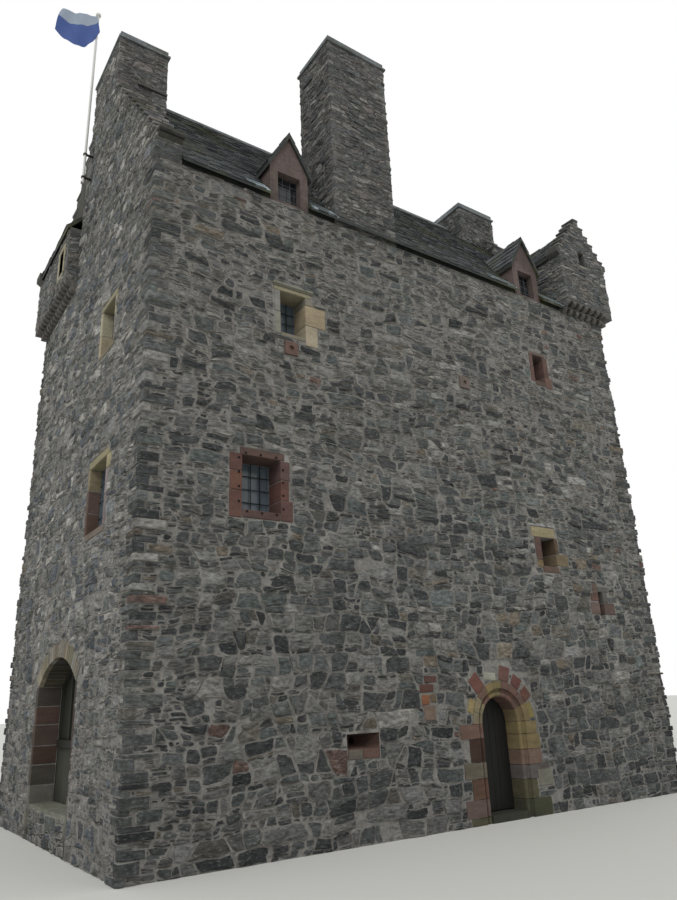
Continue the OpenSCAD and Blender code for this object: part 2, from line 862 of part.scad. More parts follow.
module turret_gable_outline() {
    z0 = turret_eave_z + turret_first;
    half = turret_w / 2;
    left = concat([[-half, wall_h]],
        [for (i = [0:turret_steps]) each [
            [-half + i * turret_run, i == 0 ? turret_eave_z : z0 + (i - 1) * turret_rise],
            [-half + i * turret_run, z0 + i * turret_rise]]]);
    right = [for (i = [len(left) - 1:-1:0]) [-left[i][0], left[i][1]]];
    translate([turret_xm, 0]) {
        polygon(concat(left, right));
        for (side = [0, 1]) mirror([side, 0]) polygon([
            [half - cut, turret_eave_z - turret_putt_h / 2],
            [half, turret_eave_z - turret_putt_h / 2],
            [half + turret_putt_over, turret_eave_z],
            [half + turret_putt_over, turret_eave_z + turret_putt_h],
            [half - cut, turret_eave_z + turret_putt_h]]);
    }
}

module turret_box(grow, z0, z1) {
    block([turret_x0 + grow, turret_y0 + grow, z0], [turret_x1 - grow, turret_y1, z1]);
}

module turret_walls() {
    light_y = turret_y1 - turret_light_u;
    difference() {
        union() {
            turret_box(0, wall_h, turret_eave_z);
            along_y(turret_y0, turret_y0 + turret_t) turret_gable_outline();
        }
        block([turret_x0 + turret_t, turret_y0 + turret_t, wall_h - cut],
            [turret_x1 - turret_t, turret_y1 + cut, big]);
        block([half_l, turret_y0 - cut, wall_h - cut], [big, big, corbel_top]);
        block([turret_x0 - cut, -big, wall_h - cut], [big, -half_w, corbel_top]);
        block([turret_xm - slit_w / 2, turret_y0 - cut, wall_h + slit_sill],
            [turret_xm + slit_w / 2, turret_y0 + turret_t + cut,
            wall_h + slit_sill + slit_h]);
        block([turret_x1 - turret_t - cut, light_y - turret_light_w / 2,
            wall_h + turret_light_sill],
            [turret_x1 + cut, light_y + turret_light_w / 2,
            wall_h + turret_light_sill + turret_light_h]);
    }
}

module front_turret() { color("#73716a") turret_walls(); }
module back_turret() { color("#73716a") turned() turret_walls(); }

module turret_roof() {
    reach = turret_w / 2 + turret_eave_over;
    foot = turret_eave_z - turret_eave_over * turret_slope;
    difference() {
        along_y(turret_y0 + turret_t, turret_y1) translate([turret_xm, 0]) polygon([
            [-reach, foot],
            [0, turret_apex(0)],
            [reach, foot],
            [reach, foot + turret_rise_t],
            [0, turret_apex(turret_rise_t)],
            [-reach, foot + turret_rise_t]]);
        under_roof(0, half_l - skew_t);
    }
}

module turret_roofs() {
    color("#444b46") {
        turret_roof();
        turned() turret_roof();
    }
}

// One corbel with a rounded nose, standing out from Y = 0 towards -Y
module corbel(reach) {
    rotate([90, 0, 90]) linear_extrude(corbel_w) polygon(concat(
        [[0, 0], [0, corbel_h], [-reach, corbel_h]],
        [for (a = [0:15:75]) [-reach * cos(a), 0.6 * corbel_h * (1 - sin(a) / sin(75))]]));
}

// One course along a wall: corbels under a flat course, each reaching past the last
module corbel_course(i, length) {
    z = wall_h - corbel_drop + i * (corbel_h + corbel_slab);
    reach = (i + 1) * corbel_reach;
    count = floor((length - corbel_w) / corbel_step);
    gap = (length - corbel_w) / count;
    for (k = [0:count]) translate([k * gap, 0, z]) corbel(reach);
    block([0, -reach, z + corbel_h], [length, 0, z + corbel_h + corbel_slab]);
}

module corbels() {
    for (i = [0:corbel_courses - 1]) {
        translate([turret_x0, -half_w, 0]) corbel_course(i, half_l - turret_x0);
        translate([half_l, -half_w, 0]) rotate([0, 0, 90])
            corbel_course(i, turret_y1 + half_w);
        z = wall_h - corbel_drop + i * (corbel_h + corbel_slab);
        block([half_l, -half_w - (i + 1) * corbel_reach, z],
            [half_l + (i + 1) * corbel_reach, -half_w, z + corbel_h + corbel_slab]);
    }
}

module turret_corbels() {
    color("#6a655a") {
        corbels();
        turned() corbels();
    }
}

// Dressed stones, frames and glass of the windows
module front_window_surrounds() {
    color("#9a6a58") on_front() {
        for (win = front_near) window_stones(win);
        for (win = front_far) window_stones(win);
        hood(front_near[1]);
    }
}

module near_gable_window_surrounds() {
    color("#a08a72") on_near_gable() for (win = gable_wins) window_stones(win);
}

module rear_window_surrounds() {
    color("#9a7a68") turned() {
        on_front() {
            for (win = front_near) window_stones(win);
            for (win = front_far) window_stones(win);
        }
        on_near_gable() for (win = gable_wins) window_stones(win);
    }
}

module front_windows() {
    color("#3a3f42") on_front() {
        for (win = front_near) window_frame(win);
        for (win = front_far) window_frame(win);
    }
}

module near_gable_windows() {
    color("#3a3f42") on_near_gable() for (win = gable_wins) window_frame(win);
}

module rear_windows() {
    color("#3a3f42") turned() {
        on_front() {
            for (win = front_near) window_frame(win);
            for (win = front_far) window_frame(win);
        }
        on_near_gable() for (win = gable_wins) window_frame(win);
    }
}

// Small frames in the dormers and turrets
module pane(w, h, d) {
    difference() {
        block([-w / 2, d, 0], [w / 2, d + frame_t, h]);
        block([-w / 2 + frame_w, d - cut, frame_w],
            [w / 2 - frame_w, d + frame_t + cut, h - frame_w]);
    }
    block([-w / 2 + frame_w, d + (frame_t - glass_t) / 2, frame_w],
        [w / 2 - frame_w, d + (frame_t + glass_t) / 2, h - frame_w]);
}

module turret_panes() {
    translate([turret_xm, turret_y0, wall_h + slit_sill]) pane(slit_w, slit_h, turret_t / 2);
    translate([turret_x1, turret_y1 - turret_light_u, wall_h + turret_light_sill])
        rotate([0, 0, 90]) pane(turret_light_w, turret_light_h, turret_t / 2);
}

module attic_windows() {
    color("#3a3f42") {
        for (x = [left_dormer, right_dormer])
            translate([x, -half_w, wall_h + dormer_sill])
                pane(dormer_light_w, dormer_light_h, dormer_front_t / 2);
        turret_panes();
        turned() turret_panes();
    }
}

// Side door: the section of its moulded stones, from the opening outwards and inwards
module side_section() {
    roll = side_roll_r;
    hollow = side_hollow_r;
    out = side_door_ring;
    polygon(concat(
        [[0, side_door_t], [out, side_door_t], [out, 0]],
        [[2 * roll + hollow, 0]],
        [for (a = [15:15:75]) [2 * roll + hollow * cos(a), hollow * sin(a)]],
        [for (a = [0:20:180]) [roll + roll * cos(a), hollow - roll * sin(a)]]));
}

module side_door_arch() {
    color("#a5705c") on_front() translate([side_cx, 0, 0]) {
        translate([0, 0, side_door_spring]) rotate([90, 0, 0])
            rotate_extrude(angle = 180, $fn = 96)
            translate([side_r, 0]) mirror([0, 1]) side_section();
        for (side = [0, 1]) mirror([side, 0, 0]) linear_extrude(side_door_spring)
            translate([side_r, 0]) side_section();
    }
}

module side_door_outline(grow) {
    translate([0, side_door_spring]) intersection() {
        circle(r = side_r + side_lap + grow, $fn = 96);
        translate([-big / 2, 0]) square([big, big]);
    }
    translate([-side_r - side_lap - grow, side_door_sill - big / 2])
        square([2 * (side_r + side_lap + grow), side_door_spring - side_door_sill + big / 2]);
}

module side_door_frame() {
    color("#4a4038") on_front() translate([side_cx, 0, 0]) difference() {
        block([-side_split, side_door_t, side_door_sill],
            [side_split, side_door_t + side_leaf_t, side_passage_z]);
        along_y(side_door_t - cut, side_door_t + side_leaf_t + cut)
            side_door_outline(leaf_gap);
    }
}

module side_door() {
    color("#2b2724") on_front() translate([side_cx, 0, 0]) intersection() {
        along_y(side_door_t + leaf_gap, side_door_t + leaf_gap + side_leaf_t)
            side_door_outline(0);
        block([-big, 0, side_door_sill + leaf_gap], [big, wall_t, big]);
    }
}

// Gable door: a segmental arch on L-shaped jambs
module gable_arch_outline() {
    difference() {
        union() {
            intersection() {
                translate([0, arch_z]) circle(r = arch_r + gable_ring, $fn = 96);
                translate([-big / 2, gable_door_spring]) square([big, big]);
            }
            translate([-gable_split, 0]) square([2 * gable_split, gable_door_spring]);
        }
        gable_door_outline(-gable_lap);
    }
}

module gable_door_arch() {
    color("#9c8468") on_near_gable() translate([-gable_door_y, 0, 0]) {
        along_y(0, gable_ring_t) gable_arch_outline();
        for (side = [0, 1]) mirror([side, 0, 0])
            block([gable_passage, gable_ring_t, 0], [gable_split, wall_t, gable_door_spring]);
    }
}

module gable_door_outline(grow) {
    intersection() {
        translate([0, arch_z]) circle(r = arch_r + gable_lap + grow, $fn = 96);
        translate([-gable_leaf_half - grow, 0]) square([2 * (gable_leaf_half + grow), big]);
    }
}

module gable_door_frame() {
    color("#3c3f3b") on_near_gable() translate([-gable_door_y, 0, 0]) difference() {
        block([-gable_passage, gable_ring_t, gable_door_sill],
            [gable_passage, gable_ring_t + gable_leaf_t, gable_passage_z]);
        along_y(gable_ring_t - cut, gable_ring_t + gable_leaf_t + cut)
            gable_door_outline(leaf_gap);
    }
}

// One leaf to the right of the middle: a panel below, a rail with a ledge over it, and
// two glazed lights above
module gable_leaf() {
    d0 = gable_ring_t + leaf_gap;
    d1 = d0 + gable_leaf_t;
    light_w = (gable_leaf_half - 3 * stile_w) / 2;
    along_y(d0, d1) difference() {
        intersection() {
            gable_door_outline(0);
            translate([leaf_gap / 2, gable_door_sill + leaf_gap])
                square([gable_leaf_half, big]);
        }
        intersection() {
            gable_door_outline(-stile_w);
            for (k = [0, 1]) translate([stile_w + k * (light_w + stile_w),
                mid_rail_z + mid_rail_h]) square([light_w, big]);
        }
    }
    along_y((d0 + d1 - glass_t) / 2, (d0 + d1 + glass_t) / 2) intersection() {
        gable_door_outline(-stile_w / 2);
        translate([stile_w / 2, mid_rail_z]) square([gable_leaf_half, big]);
    }
    block([stile_w, d0 - ledge_over, mid_rail_z],
        [gable_half - stile_w, d0, mid_rail_z + mid_rail_h]);
}

module gable_door_left() {
    color("#4c4f47") on_near_gable() translate([-gable_door_y, 0, 0])
        mirror([1, 0, 0]) gable_leaf();
}

module gable_door_right() {
    color("#4c4f47") on_near_gable() translate([-gable_door_y, 0, 0]) gable_leaf();
}

// A stud that carries a leaf at its hinge
module pivot_stud(u, d, sill) {
    translate([u, d, sill]) cylinder(r = pivot_in - 2, h = leaf_gap - seat_gap);
}

// Stones under the two doors
module thresholds() {
    color("#807c72") {
        on_front() translate([side_cx, 0, 0]) {
            block([-side_r, 0, 0], [side_r, side_door_t, side_door_sill]);
            block([-side_split, side_door_t, 0], [side_split, wall_t, side_door_sill]);
            pivot_stud(side_r + side_lap - pivot_in,
                side_door_t + leaf_gap + side_leaf_t - pivot_in, side_door_sill);
        }
        on_near_gable() translate([-gable_door_y, 0, 0]) {
            block([-gable_half, 0, 0], [gable_half, gable_ring_t, gable_door_sill]);
            block([-gable_passage, gable_ring_t, 0],
                [gable_passage, wall_t, gable_door_sill]);
            for (side = [-1, 1]) pivot_stud(side * (gable_leaf_half - pivot_in),
                gable_ring_t + leaf_gap + gable_leaf_t - pivot_in, gable_door_sill);
        }
    }
}

// Two small stones with a round hole
module wall_bosses() {
    color("#9a5f4e") on_front() for (p = [
        [front_near[1][0] - boss_shift, low_boss_z],
        [side_cx - boss_shift, high_boss_z]]) translate([p[0], 0, p[1]]) difference() {
        block([-boss_w / 2, -boss_t, -boss_w / 2], [boss_w / 2, 0, boss_w / 2]);
        translate([0, -boss_t - cut, 0]) rotate([-90, 0, 0])
            cylinder(r = boss_hole_r, h = boss_t);
    }
}

// Flagpole on two iron brackets, and its flag
module flagpole() {
    color("#e6e6e2") translate([-half_l - pole_out, pole_y, pole_foot]) {
        cylinder(r = pole_r, h = pole_top - pole_foot - ball_r);
        translate([0, 0, pole_top - pole_foot - ball_r]) sphere(r = ball_r);
    }
}

module pole_brackets() {
    color("#33332f") for (z = [bracket_low, bracket_low + bracket_rise])
        translate([-half_l - pole_out, pole_y, pole_foot + z]) difference() {
            union() {
                cylinder(r = pole_r + bracket_t / 2, h = bracket_t);
                block([0, -bracket_t / 2, 0], [pole_out, bracket_t / 2, bracket_t]);
                block([pole_out - bracket_t / 2, -2 * bracket_t, -bracket_t],
                    [pole_out, 2 * bracket_t, 2 * bracket_t]);
            }
            translate([0, 0, -2 * bracket_t]) cylinder(r = pole_r, h = 5 * bracket_t);
        }
}

module flag() {
    color("#3c5f96") translate([-half_l - pole_out, pole_y, pole_top - 3 * ball_r - flag_h])
        rotate([0, 0, 145]) block([pole_r, -flag_t / 2, 0], [flag_l, flag_t / 2, flag_h]);
}

front_wall_left();
front_wall_right();
front_wall_over_door();
near_gable_wall();
near_gable_wall_sides();
far_gable_wall();
back_wall();
near_crow_steps();
far_crow_steps();
ground_floor();
upper_floors();
roof_front_slope();
roof_back_slope();
roof_ridge();
lead_flashings();
near_stack();
middle_stack();
far_stack();
stack_copes();
left_dormer();
right_dormer();
dormer_roofs();
attic_windows();
front_turret();
back_turret();
turret_corbels();
turret_roofs();
front_window_surrounds();
near_gable_window_surrounds();
rear_window_surrounds();
front_windows();
near_gable_windows();
rear_windows();
side_door_arch();
side_door_frame();
side_door();
gable_door_arch();
gable_door_frame();
gable_door_left();
gable_door_right();
thresholds();
gun_loop();
wall_bosses();
flagpole();
pole_brackets();
flag();
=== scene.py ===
"""A castle keep dressed with rubble stones, slates, dressed sandstone, lead and timber."""

import math

import bpy
import numpy as np
from mathutils import Matrix


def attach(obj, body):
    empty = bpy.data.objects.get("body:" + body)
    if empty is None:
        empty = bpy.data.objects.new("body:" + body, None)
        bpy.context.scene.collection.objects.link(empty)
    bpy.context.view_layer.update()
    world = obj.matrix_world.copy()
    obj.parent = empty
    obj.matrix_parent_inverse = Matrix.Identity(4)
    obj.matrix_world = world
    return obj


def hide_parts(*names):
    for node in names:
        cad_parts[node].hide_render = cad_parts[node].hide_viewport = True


bl_info = {
    "name": "Castle Keep Dressing",
    "version": (1, 0, 0),
    "blender": (4, 5, 0),
    "location": "View3D > Sidebar > Keep",
    "description": "Stonework, slates, lead, doors, windows and a flag for a castle keep",
    "category": "Add Mesh",
}

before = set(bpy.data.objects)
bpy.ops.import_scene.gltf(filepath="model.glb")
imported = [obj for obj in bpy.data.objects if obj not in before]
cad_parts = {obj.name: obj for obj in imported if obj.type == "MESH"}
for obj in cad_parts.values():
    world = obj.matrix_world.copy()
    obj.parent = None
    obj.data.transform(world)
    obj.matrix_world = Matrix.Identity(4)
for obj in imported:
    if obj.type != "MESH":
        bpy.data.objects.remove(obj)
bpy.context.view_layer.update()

# Sizes, in metres
HALF_L, HALF_W, WALL_H = 6.0, 3.825, 11.1
CORE_TOP = 11.12  # where the solid walls end
CORBEL_FOOT = 11.03  # where the rubble ends under a turret
PITCH = math.radians(50.9)
ROOF_SLOPE = math.tan(PITCH)
ROOF_THICK, ROOF_INSET = 0.255, 0.15
EAVES = 0.12
SKEW = 0.45  # breadth of a gable head
STEP_COUNT = 13
STEP_RUN = HALF_W / (STEP_COUNT + 1)
STEP_RISE = STEP_RUN * ROOF_SLOPE


def roof_top(d):
    """Height of the slates' bed at a distance from the ridge line."""
    return WALL_H + (HALF_W - ROOF_INSET - d) * ROOF_SLOPE + ROOF_THICK / math.cos(PITCH)


STEP_Z0 = roof_top(HALF_W) + STEP_RISE + 0.06
# Chimney stacks: low and high x, low and high y, top
NEAR_STACK = (-6.0, -4.862, -0.893, 0.893, 16.67)
FAR_STACK = (4.6, 6.0, -0.72, 0.72, 16.34)
MID_STACK = (-2.275, -0.735, -3.825, -2.62, 15.95)
# The front turret, of which the back one is a half turn: low and high x, low and high y
TURRET = (4.5, 6.25, -4.075, -1.2)
TURRET_X, TURRET_HALF = 5.375, 0.875
TURRET_EAVE, TURRET_SLOPE = 12.72, math.tan(math.radians(48))
TURRET_WALL_TOP = 12.65
TURRET_STEPS, TURRET_STEP_RUN, TURRET_STEP_RISE, TURRET_STEP_Z0 = 6, 0.156, 0.208, 12.96
CORBEL_TOP = 11.35
# Its small windows, in the outer side (low and high y) and in the gablet (low and high x),
# each with sill and head, and the stones round the first
TURRET_LIGHT = (-2.0, -1.52, 11.68, 12.42)
GABLET_LIGHT = (-0.11, 0.11, 12.54, 12.97)
LIGHT_MARGINS = [
    (-2.06, -1.95, 11.68, 12.45),
    (-1.57, -1.46, 11.68, 12.45),
    (-1.95, -1.57, 12.36, 12.46),
    (-2.03, -1.5, 11.6, 11.72),
]
DORMERS, DORMER_HALF = (-3.35, 3.31), 0.425
DORMER_EAVE, DORMER_SLOPE = 11.93, math.tan(math.radians(61))
OVERHANG = 0.06  # of the roofs of dormers and turrets
# Side door: middle, half its breadth, height where its arch springs, depth, outer edge of the
# moulded ring, and what the rubble leaves clear
SIDE_U, SIDE_HALF, SIDE_SPRING, SIDE_DEEP = 0.9, 0.445, 1.6, 0.35
SIDE_EDGE, SIDE_CLEAR = 0.715, 0.74
# Gable door: middle, half its breadth, height of its arch's centre, radius, and what the
# rubble leaves clear
GATE_U, GATE_HALF, GATE_Z, GATE_RADIUS, GATE_CLEAR = 0.05, 1.25, 1.0716, 1.9284, 2.2
GATE_BOXES = [(-1.20, 1.30, 0.53, 2.55), (-1.33, -1.19, 0.1, 2.55), (1.29, 1.33, 0.1, 2.55)]
# The gun loop's mouth, the mortar round it, and two small stones with a hole
LOOP_MOUTH = (-2.51, -1.89, 1.20, 1.57)
LOOP_BEDS = [
    (-2.585, -1.815, 1.575, 1.715),
    (-2.585, -2.515, 1.2, 1.58),
    (-1.885, -1.815, 1.2, 1.58),
]
HOLED_STONES = [(-3.515, -3.255, 7.9, 8.16), (0.71, 0.97, 8.18, 8.44)]
# The photo's camera: focal length as a share of the picture's width, place, and yaw, pitch and
# roll in degrees
CAMERA_FOCUS = 726.21 / 900
CAMERA_PLACE = (-9.362, -13.797, 2.001)
CAMERA_ANGLES = (34.757, 19.375, -2.387)

# Windows: place along the wall, sill, width, height, then the reach of the stones to the
# left, to the right, over and under
FRONT_WINDOWS = [
    (-3.985, 4.98, 0.70, 0.90, 0.19, 0.19, 0.13, 0.19),
    (-3.325, 8.32, 0.52, 0.84, 0.16, 0.16, 0.12, 0.15),
    (3.33, 8.91, 0.34, 0.65, 0.15, 0.24, 0.09, 0.09),
    (2.81, 4.56, 0.42, 0.59, 0.19, 0.15, 0.22, 0.17),
    (4.30, 3.60, 0.15, 0.50, 0.20, 0.42, 0.24, 0.06),
]
FRONT_DEEP = 0.40
FRONT_PANES = [(4, 4), (3, 4), (1, 2), (2, 2), (1, 1)]  # across and up
GABLE_WINDOWS = [
    (1.62, 8.37, 0.74, 0.92, 0.15, 0.15, 0.13, 0.13),
    (1.67, 4.94, 0.93, 1.19, 0.16, 0.16, 0.15, 0.14),
]
GABLE_DEEP = 0.20


# Colours
def rgb(code):
    """Linear red, green, blue from an sRGB hex code."""
    v = np.array([int(code[i : i + 2], 16) for i in (1, 3, 5)]) / 255.0
    return tuple(np.where(v <= 0.04045, v / 12.92, ((v + 0.055) / 1.055) ** 2.4).tolist())


WHINSTONE = [
    "#37393a", "#454747", "#505352", "#5d5d5b", "#6a6a68",
    "#4c5150", "#58554f", "#767571", "#5c4b45", "#625b51",
]
WHINSTONE_SHARE = [0.18, 0.19, 0.18, 0.14, 0.10, 0.09, 0.04, 0.035, 0.006, 0.025]
GABLE_STONE = [
    "#52565b", "#5f6263", "#6a6b69", "#757470", "#585b59", "#7c7a76", "#484c4e", "#868581",
]
TURRET_STONE = ["#5d5f5e", "#6b6b6c", "#787774", "#636766", "#848380", "#726e68", "#565a5b"]
FLAGSTONE = ["#535454", "#606060", "#6c6b69", "#5a5b5c", "#767572", "#676360", "#4d5150"]
SLATE = ["#34393b", "#3d4244", "#464b4e", "#323739", "#4c5152", "#414544"]
IRON = "#30312f"

# Dressed stones of each window: left and right edge from the opening's left side, lower and
# upper edge from its sill, colour
FRONT_STONES = [
    [
        (-0.23, 0, -0.15, 0.30, "#5f463f"), (-0.22, 0, 0.30, 0.62, "#65493f"),
        (-0.23, 0, 0.62, 0.92, "#5c443e"), (0.7, 0.93, -0.13, 0.22, "#5a4440"),
        (0.7, 0.86, 0.22, 0.56, "#62463f"), (0.7, 0.88, 0.56, 0.9, "#594644"),
        (-0.05, 0.78, 0.9, 1.03, "#584741"), (0, 0.7, -0.14, 0, "#54433f"),
    ],
    [
        (-0.12, 0, -0.05, 0.40, "#7d7c72"), (-0.13, 0, 0.40, 0.84, "#82807a"),
        (-0.14, 0.66, 0.84, 0.93, "#857f6a"), (0.52, 0.70, 0.69, 0.84, "#7d776c"),
        (0.52, 0.96, 0.27, 0.69, "#988b73"), (0.52, 0.78, -0.15, 0.27, "#a59b86"),
        (0, 0.52, -0.08, 0, "#7a7567"),
    ],
    [
        (-0.13, 0, -0.04, 0.35, "#64504a"), (-0.12, 0, 0.35, 0.66, "#68554f"),
        (0.34, 0.50, 0.14, 0.65, "#614c46"), (0.34, 0.57, -0.14, 0.14, "#67524a"),
        (-0.1, 0.45, 0.65, 0.73, "#6a5c56"), (0, 0.34, -0.12, 0, "#5c4d47"),
    ],
    [
        (-0.26, 0.46, 0.60, 0.82, "#958b6f"), (-0.19, 0, 0.12, 0.60, "#5e4a45"),
        (-0.18, 0, -0.04, 0.12, "#70624a"), (0.42, 0.52, 0.27, 0.60, "#5a4c3d"),
        (0.42, 0.78, 0.02, 0.27, "#6f634f"), (-0.04, 0.47, -0.14, 0, "#62524a"),
    ],
    [
        (-0.26, 0, 0.30, 0.47, "#5f4a43"), (-0.17, 0, 0.47, 0.68, "#6b5c54"),
        (-0.30, 0, 0.02, 0.28, "#665852"), (0.15, 0.50, 0.02, 0.27, "#5c4d48"),
        (0.15, 0.30, 0.27, 0.50, "#5b5a55"), (0, 0.36, 0.50, 0.62, "#5c5c58"),
        (0, 0.15, -0.07, 0, "#5b5a55"),
    ],
]
GABLE_STONES = [
    [
        (-0.12, 0, 0.42, 0.92, "#a8a28c"), (-0.11, 0, -0.02, 0.42, "#a39780"),
        (0.74, 0.86, 0.5, 0.92, "#98927e"), (0.74, 0.85, -0.02, 0.5, "#75716a"),
        (-0.1, 0.86, 0.92, 1.04, "#8d8770"), (-0.08, 0.82, -0.11, 0, "#77705f"),
    ],
    [
        (-0.1, 0, 0.8, 1.19, "#857b64"), (-0.12, 0, 0.4, 0.8, "#5f4f48"),
        (-0.1, 0, -0.02, 0.4, "#58473f"), (0.93, 1.17, 0.95, 1.19, "#989073"),
        (0.93, 1.05, 0.5, 0.95, "#877d7d"), (0.93, 1.04, -0.02, 0.5, "#7f7372"),
        (-0.08, 1.06, 1.19, 1.33, "#8a8368"), (-0.06, 0.99, -0.12, 0, "#6e655c"),
    ],
]
# Small round holes in the lower front window's stones, from which bars are gone; each is
# drawn as a small near-black block, its colour painted shade in the hole
BAR_HOLES = [
    (-0.062, 0.84), (-0.062, 0.60), (-0.062, 0.36), (-0.062, 0.115), (0.745, 0.74), (0.745, 0.52),
    (0.745, 0.30), (0.745, 0.07), (0.06, 0.94), (0.33, 0.94), (0.62, 0.94), (0.08, -0.035),
    (0.35, -0.04), (0.62, -0.035),
]
# Long stones that stand out round the side door's arch: angle in degrees, reach over the
# ring, half their breadth, colour
SIDE_RAYS = [
    (129, 0.31, 0.12, "#684840"), (78, 0.27, 0.125, "#694b46"), (56, 0.22, 0.115, "#64433f"),
    (35, 0.22, 0.115, "#66463f"), (14, 0.13, 0.14, "#7a6f48"), (157, 0.14, 0.13, "#8a7c58"),
]
# Odd stones of the front wall: left, right, lower and upper edge, colour
ODD_STONES = [
    (-0.86, -0.58, 2.31, 2.43, "#573f3c"), (-0.98, -0.66, 2.15, 2.29, "#5a3f39"),
    (-0.96, -0.77, 1.95, 2.13, "#80563f"), (-0.76, -0.62, 1.98, 2.13, "#6a5a4c"),
    (-0.92, -0.66, 1.70, 1.95, "#75655a"), (1.66, 2.06, 0.47, 0.77, "#737167"),
    (0.55, 0.85, 2.32, 2.47, "#9a9a8d"),
]
# Jamb stones of the side door: top, foot, colour and reach over the moulded ring
SIDE_JAMBS = {
    -1: [
        (1.6, 1.36, "#665148", 0.33), (1.36, 0.98, "#402e28", 0.13), (0.98, 0.72, "#625b50", 0.3),
        (0.72, 0.40, "#584338", 0.15), (0.40, 0.12, "#5e504b", 0.33),
        (0.12, 0.0, "#4e4c3b", 0.23),
    ],
    1: [
        (1.6, 1.38, "#736749", 0.16), (1.38, 1.12, "#75684a", 0.21),
        (1.12, 0.86, "#6a584d", 0.21), (0.86, 0.62, "#575250", 0.38),
        (0.62, 0.30, "#4f4c3a", 0.02), (0.30, 0.0, "#3f4033", 0.34),
    ],
}
# Arch stones of the side door from left to right: the angles of their joints, their colours
SIDE_CUTS = [180, 163, 140, 119, 102, 84, 66, 47, 28, 0]
SIDE_ARCH = [
    "#7d745f", "#80775f", "#695349", "#7b6d4c", "#756a4c", "#68514a", "#6a524a", "#5f4c46",
    "#6f6248",
]
GATE_ARCH = ["#7b7971", "#76715f", "#87837a", "#706a60", "#7e7465", "#8a8270"]
# Jamb stones of the gable door: top, foot, colour, reach on the left and on the right
GATE_JAMBS = [
    (2.54, 2.2, "#4a4540", 0.14, 0.05), (2.2, 1.88, "#54433c", 0.10, 0.04),
    (1.88, 1.52, "#50443e", 0.16, 0.06), (1.52, 1.2, "#4c3d36", 0.11, 0.04),
    (1.2, 0.86, "#4a463f", 0.15, 0.05), (0.86, 0.5, "#6a6860", 0.10, 0.04),
    (0.5, 0.22, "#5c594f", 0.13, 0.05), (0.22, 0.0, "#4a4840", 0.10, 0.04),
]


# Properties
class KEEP_PG_stonework(bpy.types.PropertyGroup):
    """Sizes of the rubble."""

    aspect: bpy.props.FloatProperty(
        name="Stone length",
        description="Usual length of a stone as a multiple of its bed's height",
        default=2.1,
    )
    joint: bpy.props.FloatProperty(
        name="Joint",
        description="Width of the mortar between stones",
        default=0.009,
        unit="LENGTH",
    )
    proud: bpy.props.FloatProperty(
        name="Proud",
        description="How far a usual stone stands out of the mortar",
        default=0.022,
        unit="LENGTH",
    )


class KEEP_PG_roofing(bpy.types.PropertyGroup):
    """Sizes of the slates."""

    width: bpy.props.FloatProperty(
        name="Slate width",
        description="Usual width of a slate",
        default=0.23,
        unit="LENGTH",
    )
    gauge: bpy.props.FloatProperty(
        name="Gauge",
        description="Length of slate that shows in each course",
        default=0.17,
        unit="LENGTH",
    )
    thick: bpy.props.FloatProperty(
        name="Slate thickness",
        description="Thickness of a slate at its tail",
        default=0.012,
        unit="LENGTH",
    )


class KEEP_PG_colours(bpy.types.PropertyGroup):
    """Colours that a user would change."""

    mortar: bpy.props.FloatVectorProperty(
        name="Lime mortar",
        description="Colour of the lime mortar",
        subtype="COLOR",
        default=rgb("#86847f"),
    )
    lead: bpy.props.FloatVectorProperty(
        name="Lead",
        description="Colour of weathered lead",
        subtype="COLOR",
        default=rgb("#9dabb3"),
    )
    flag_upper: bpy.props.FloatVectorProperty(
        name="Flag, upper part",
        description="Colour of the flag's upper part",
        subtype="COLOR",
        default=rgb("#98a4b3"),
    )
    flag_lower: bpy.props.FloatVectorProperty(
        name="Flag, lower part",
        description="Colour of the flag's lower part",
        subtype="COLOR",
        default=rgb("#4b5f97"),
    )


# Meshes
def make_piece(name, verts, faces, material, colours=None, smooth=False, body="keep", slot=None):
    """An object from a vertex array and a list of face arrays, each n by 3 or n by 4.
    colours is one red, green, blue and rim value for each vertex."""
    verts = np.asarray(verts, dtype=np.float32)
    faces = [np.asarray(f, dtype=np.int32) for f in faces if len(f)]
    mesh = bpy.data.meshes.new(name)
    mesh.vertices.add(len(verts))
    mesh.vertices.foreach_set("co", verts.ravel())
    loops = np.concatenate([f.ravel() for f in faces])
    sizes = np.concatenate([np.full(len(f), f.shape[1], np.int32) for f in faces])
    mesh.loops.add(len(loops))
    mesh.loops.foreach_set("vertex_index", loops)
    mesh.polygons.add(len(sizes))
    starts = np.concatenate([[0], np.cumsum(sizes)[:-1]]).astype(np.int32)
    mesh.polygons.foreach_set("loop_start", starts)
    mesh.polygons.foreach_set("loop_total", sizes)
    mesh.polygons.foreach_set("use_smooth", np.full(len(sizes), smooth))
    mesh.update()
    mesh.validate()
    if colours is not None:
        layer = mesh.attributes.new("tone", "FLOAT_COLOR", "POINT")
        layer.data.foreach_set("color", np.asarray(colours, dtype=np.float32).ravel())
    mesh.materials.append(material)
    piece = bpy.data.objects.new(name, mesh)
    bpy.context.scene.collection.objects.link(piece)
    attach(piece, body)
    return piece


class Heap:
    """Collects vertices, faces and colours of many stones for one piece."""

    def __init__(self):
        self.verts, self.quads, self.tris, self.tones, self.count = [], [], [], [], 0

    def add(self, verts, quads, tris, tones):
        """More stones; tones are one red, green, blue and rim value for all or for each."""
        verts = np.asarray(verts, float).reshape(-1, 3)
        if len(quads):
            self.quads.append(np.asarray(quads).reshape(-1, 4) + self.count)
        if len(tris):
            self.tris.append(np.asarray(tris).reshape(-1, 3) + self.count)
        self.verts.append(verts)
        self.tones.append(np.broadcast_to(tones, (len(verts), 4)))
        self.count += len(verts)

    def piece(self, name, material, **rest):
        """The piece of all the stones."""
        faces = [np.concatenate(f) for f in (self.quads, self.tris) if f]
        verts, tones = np.concatenate(self.verts), np.concatenate(self.tones)
        return make_piece(name, verts, faces, material, tones, **rest)


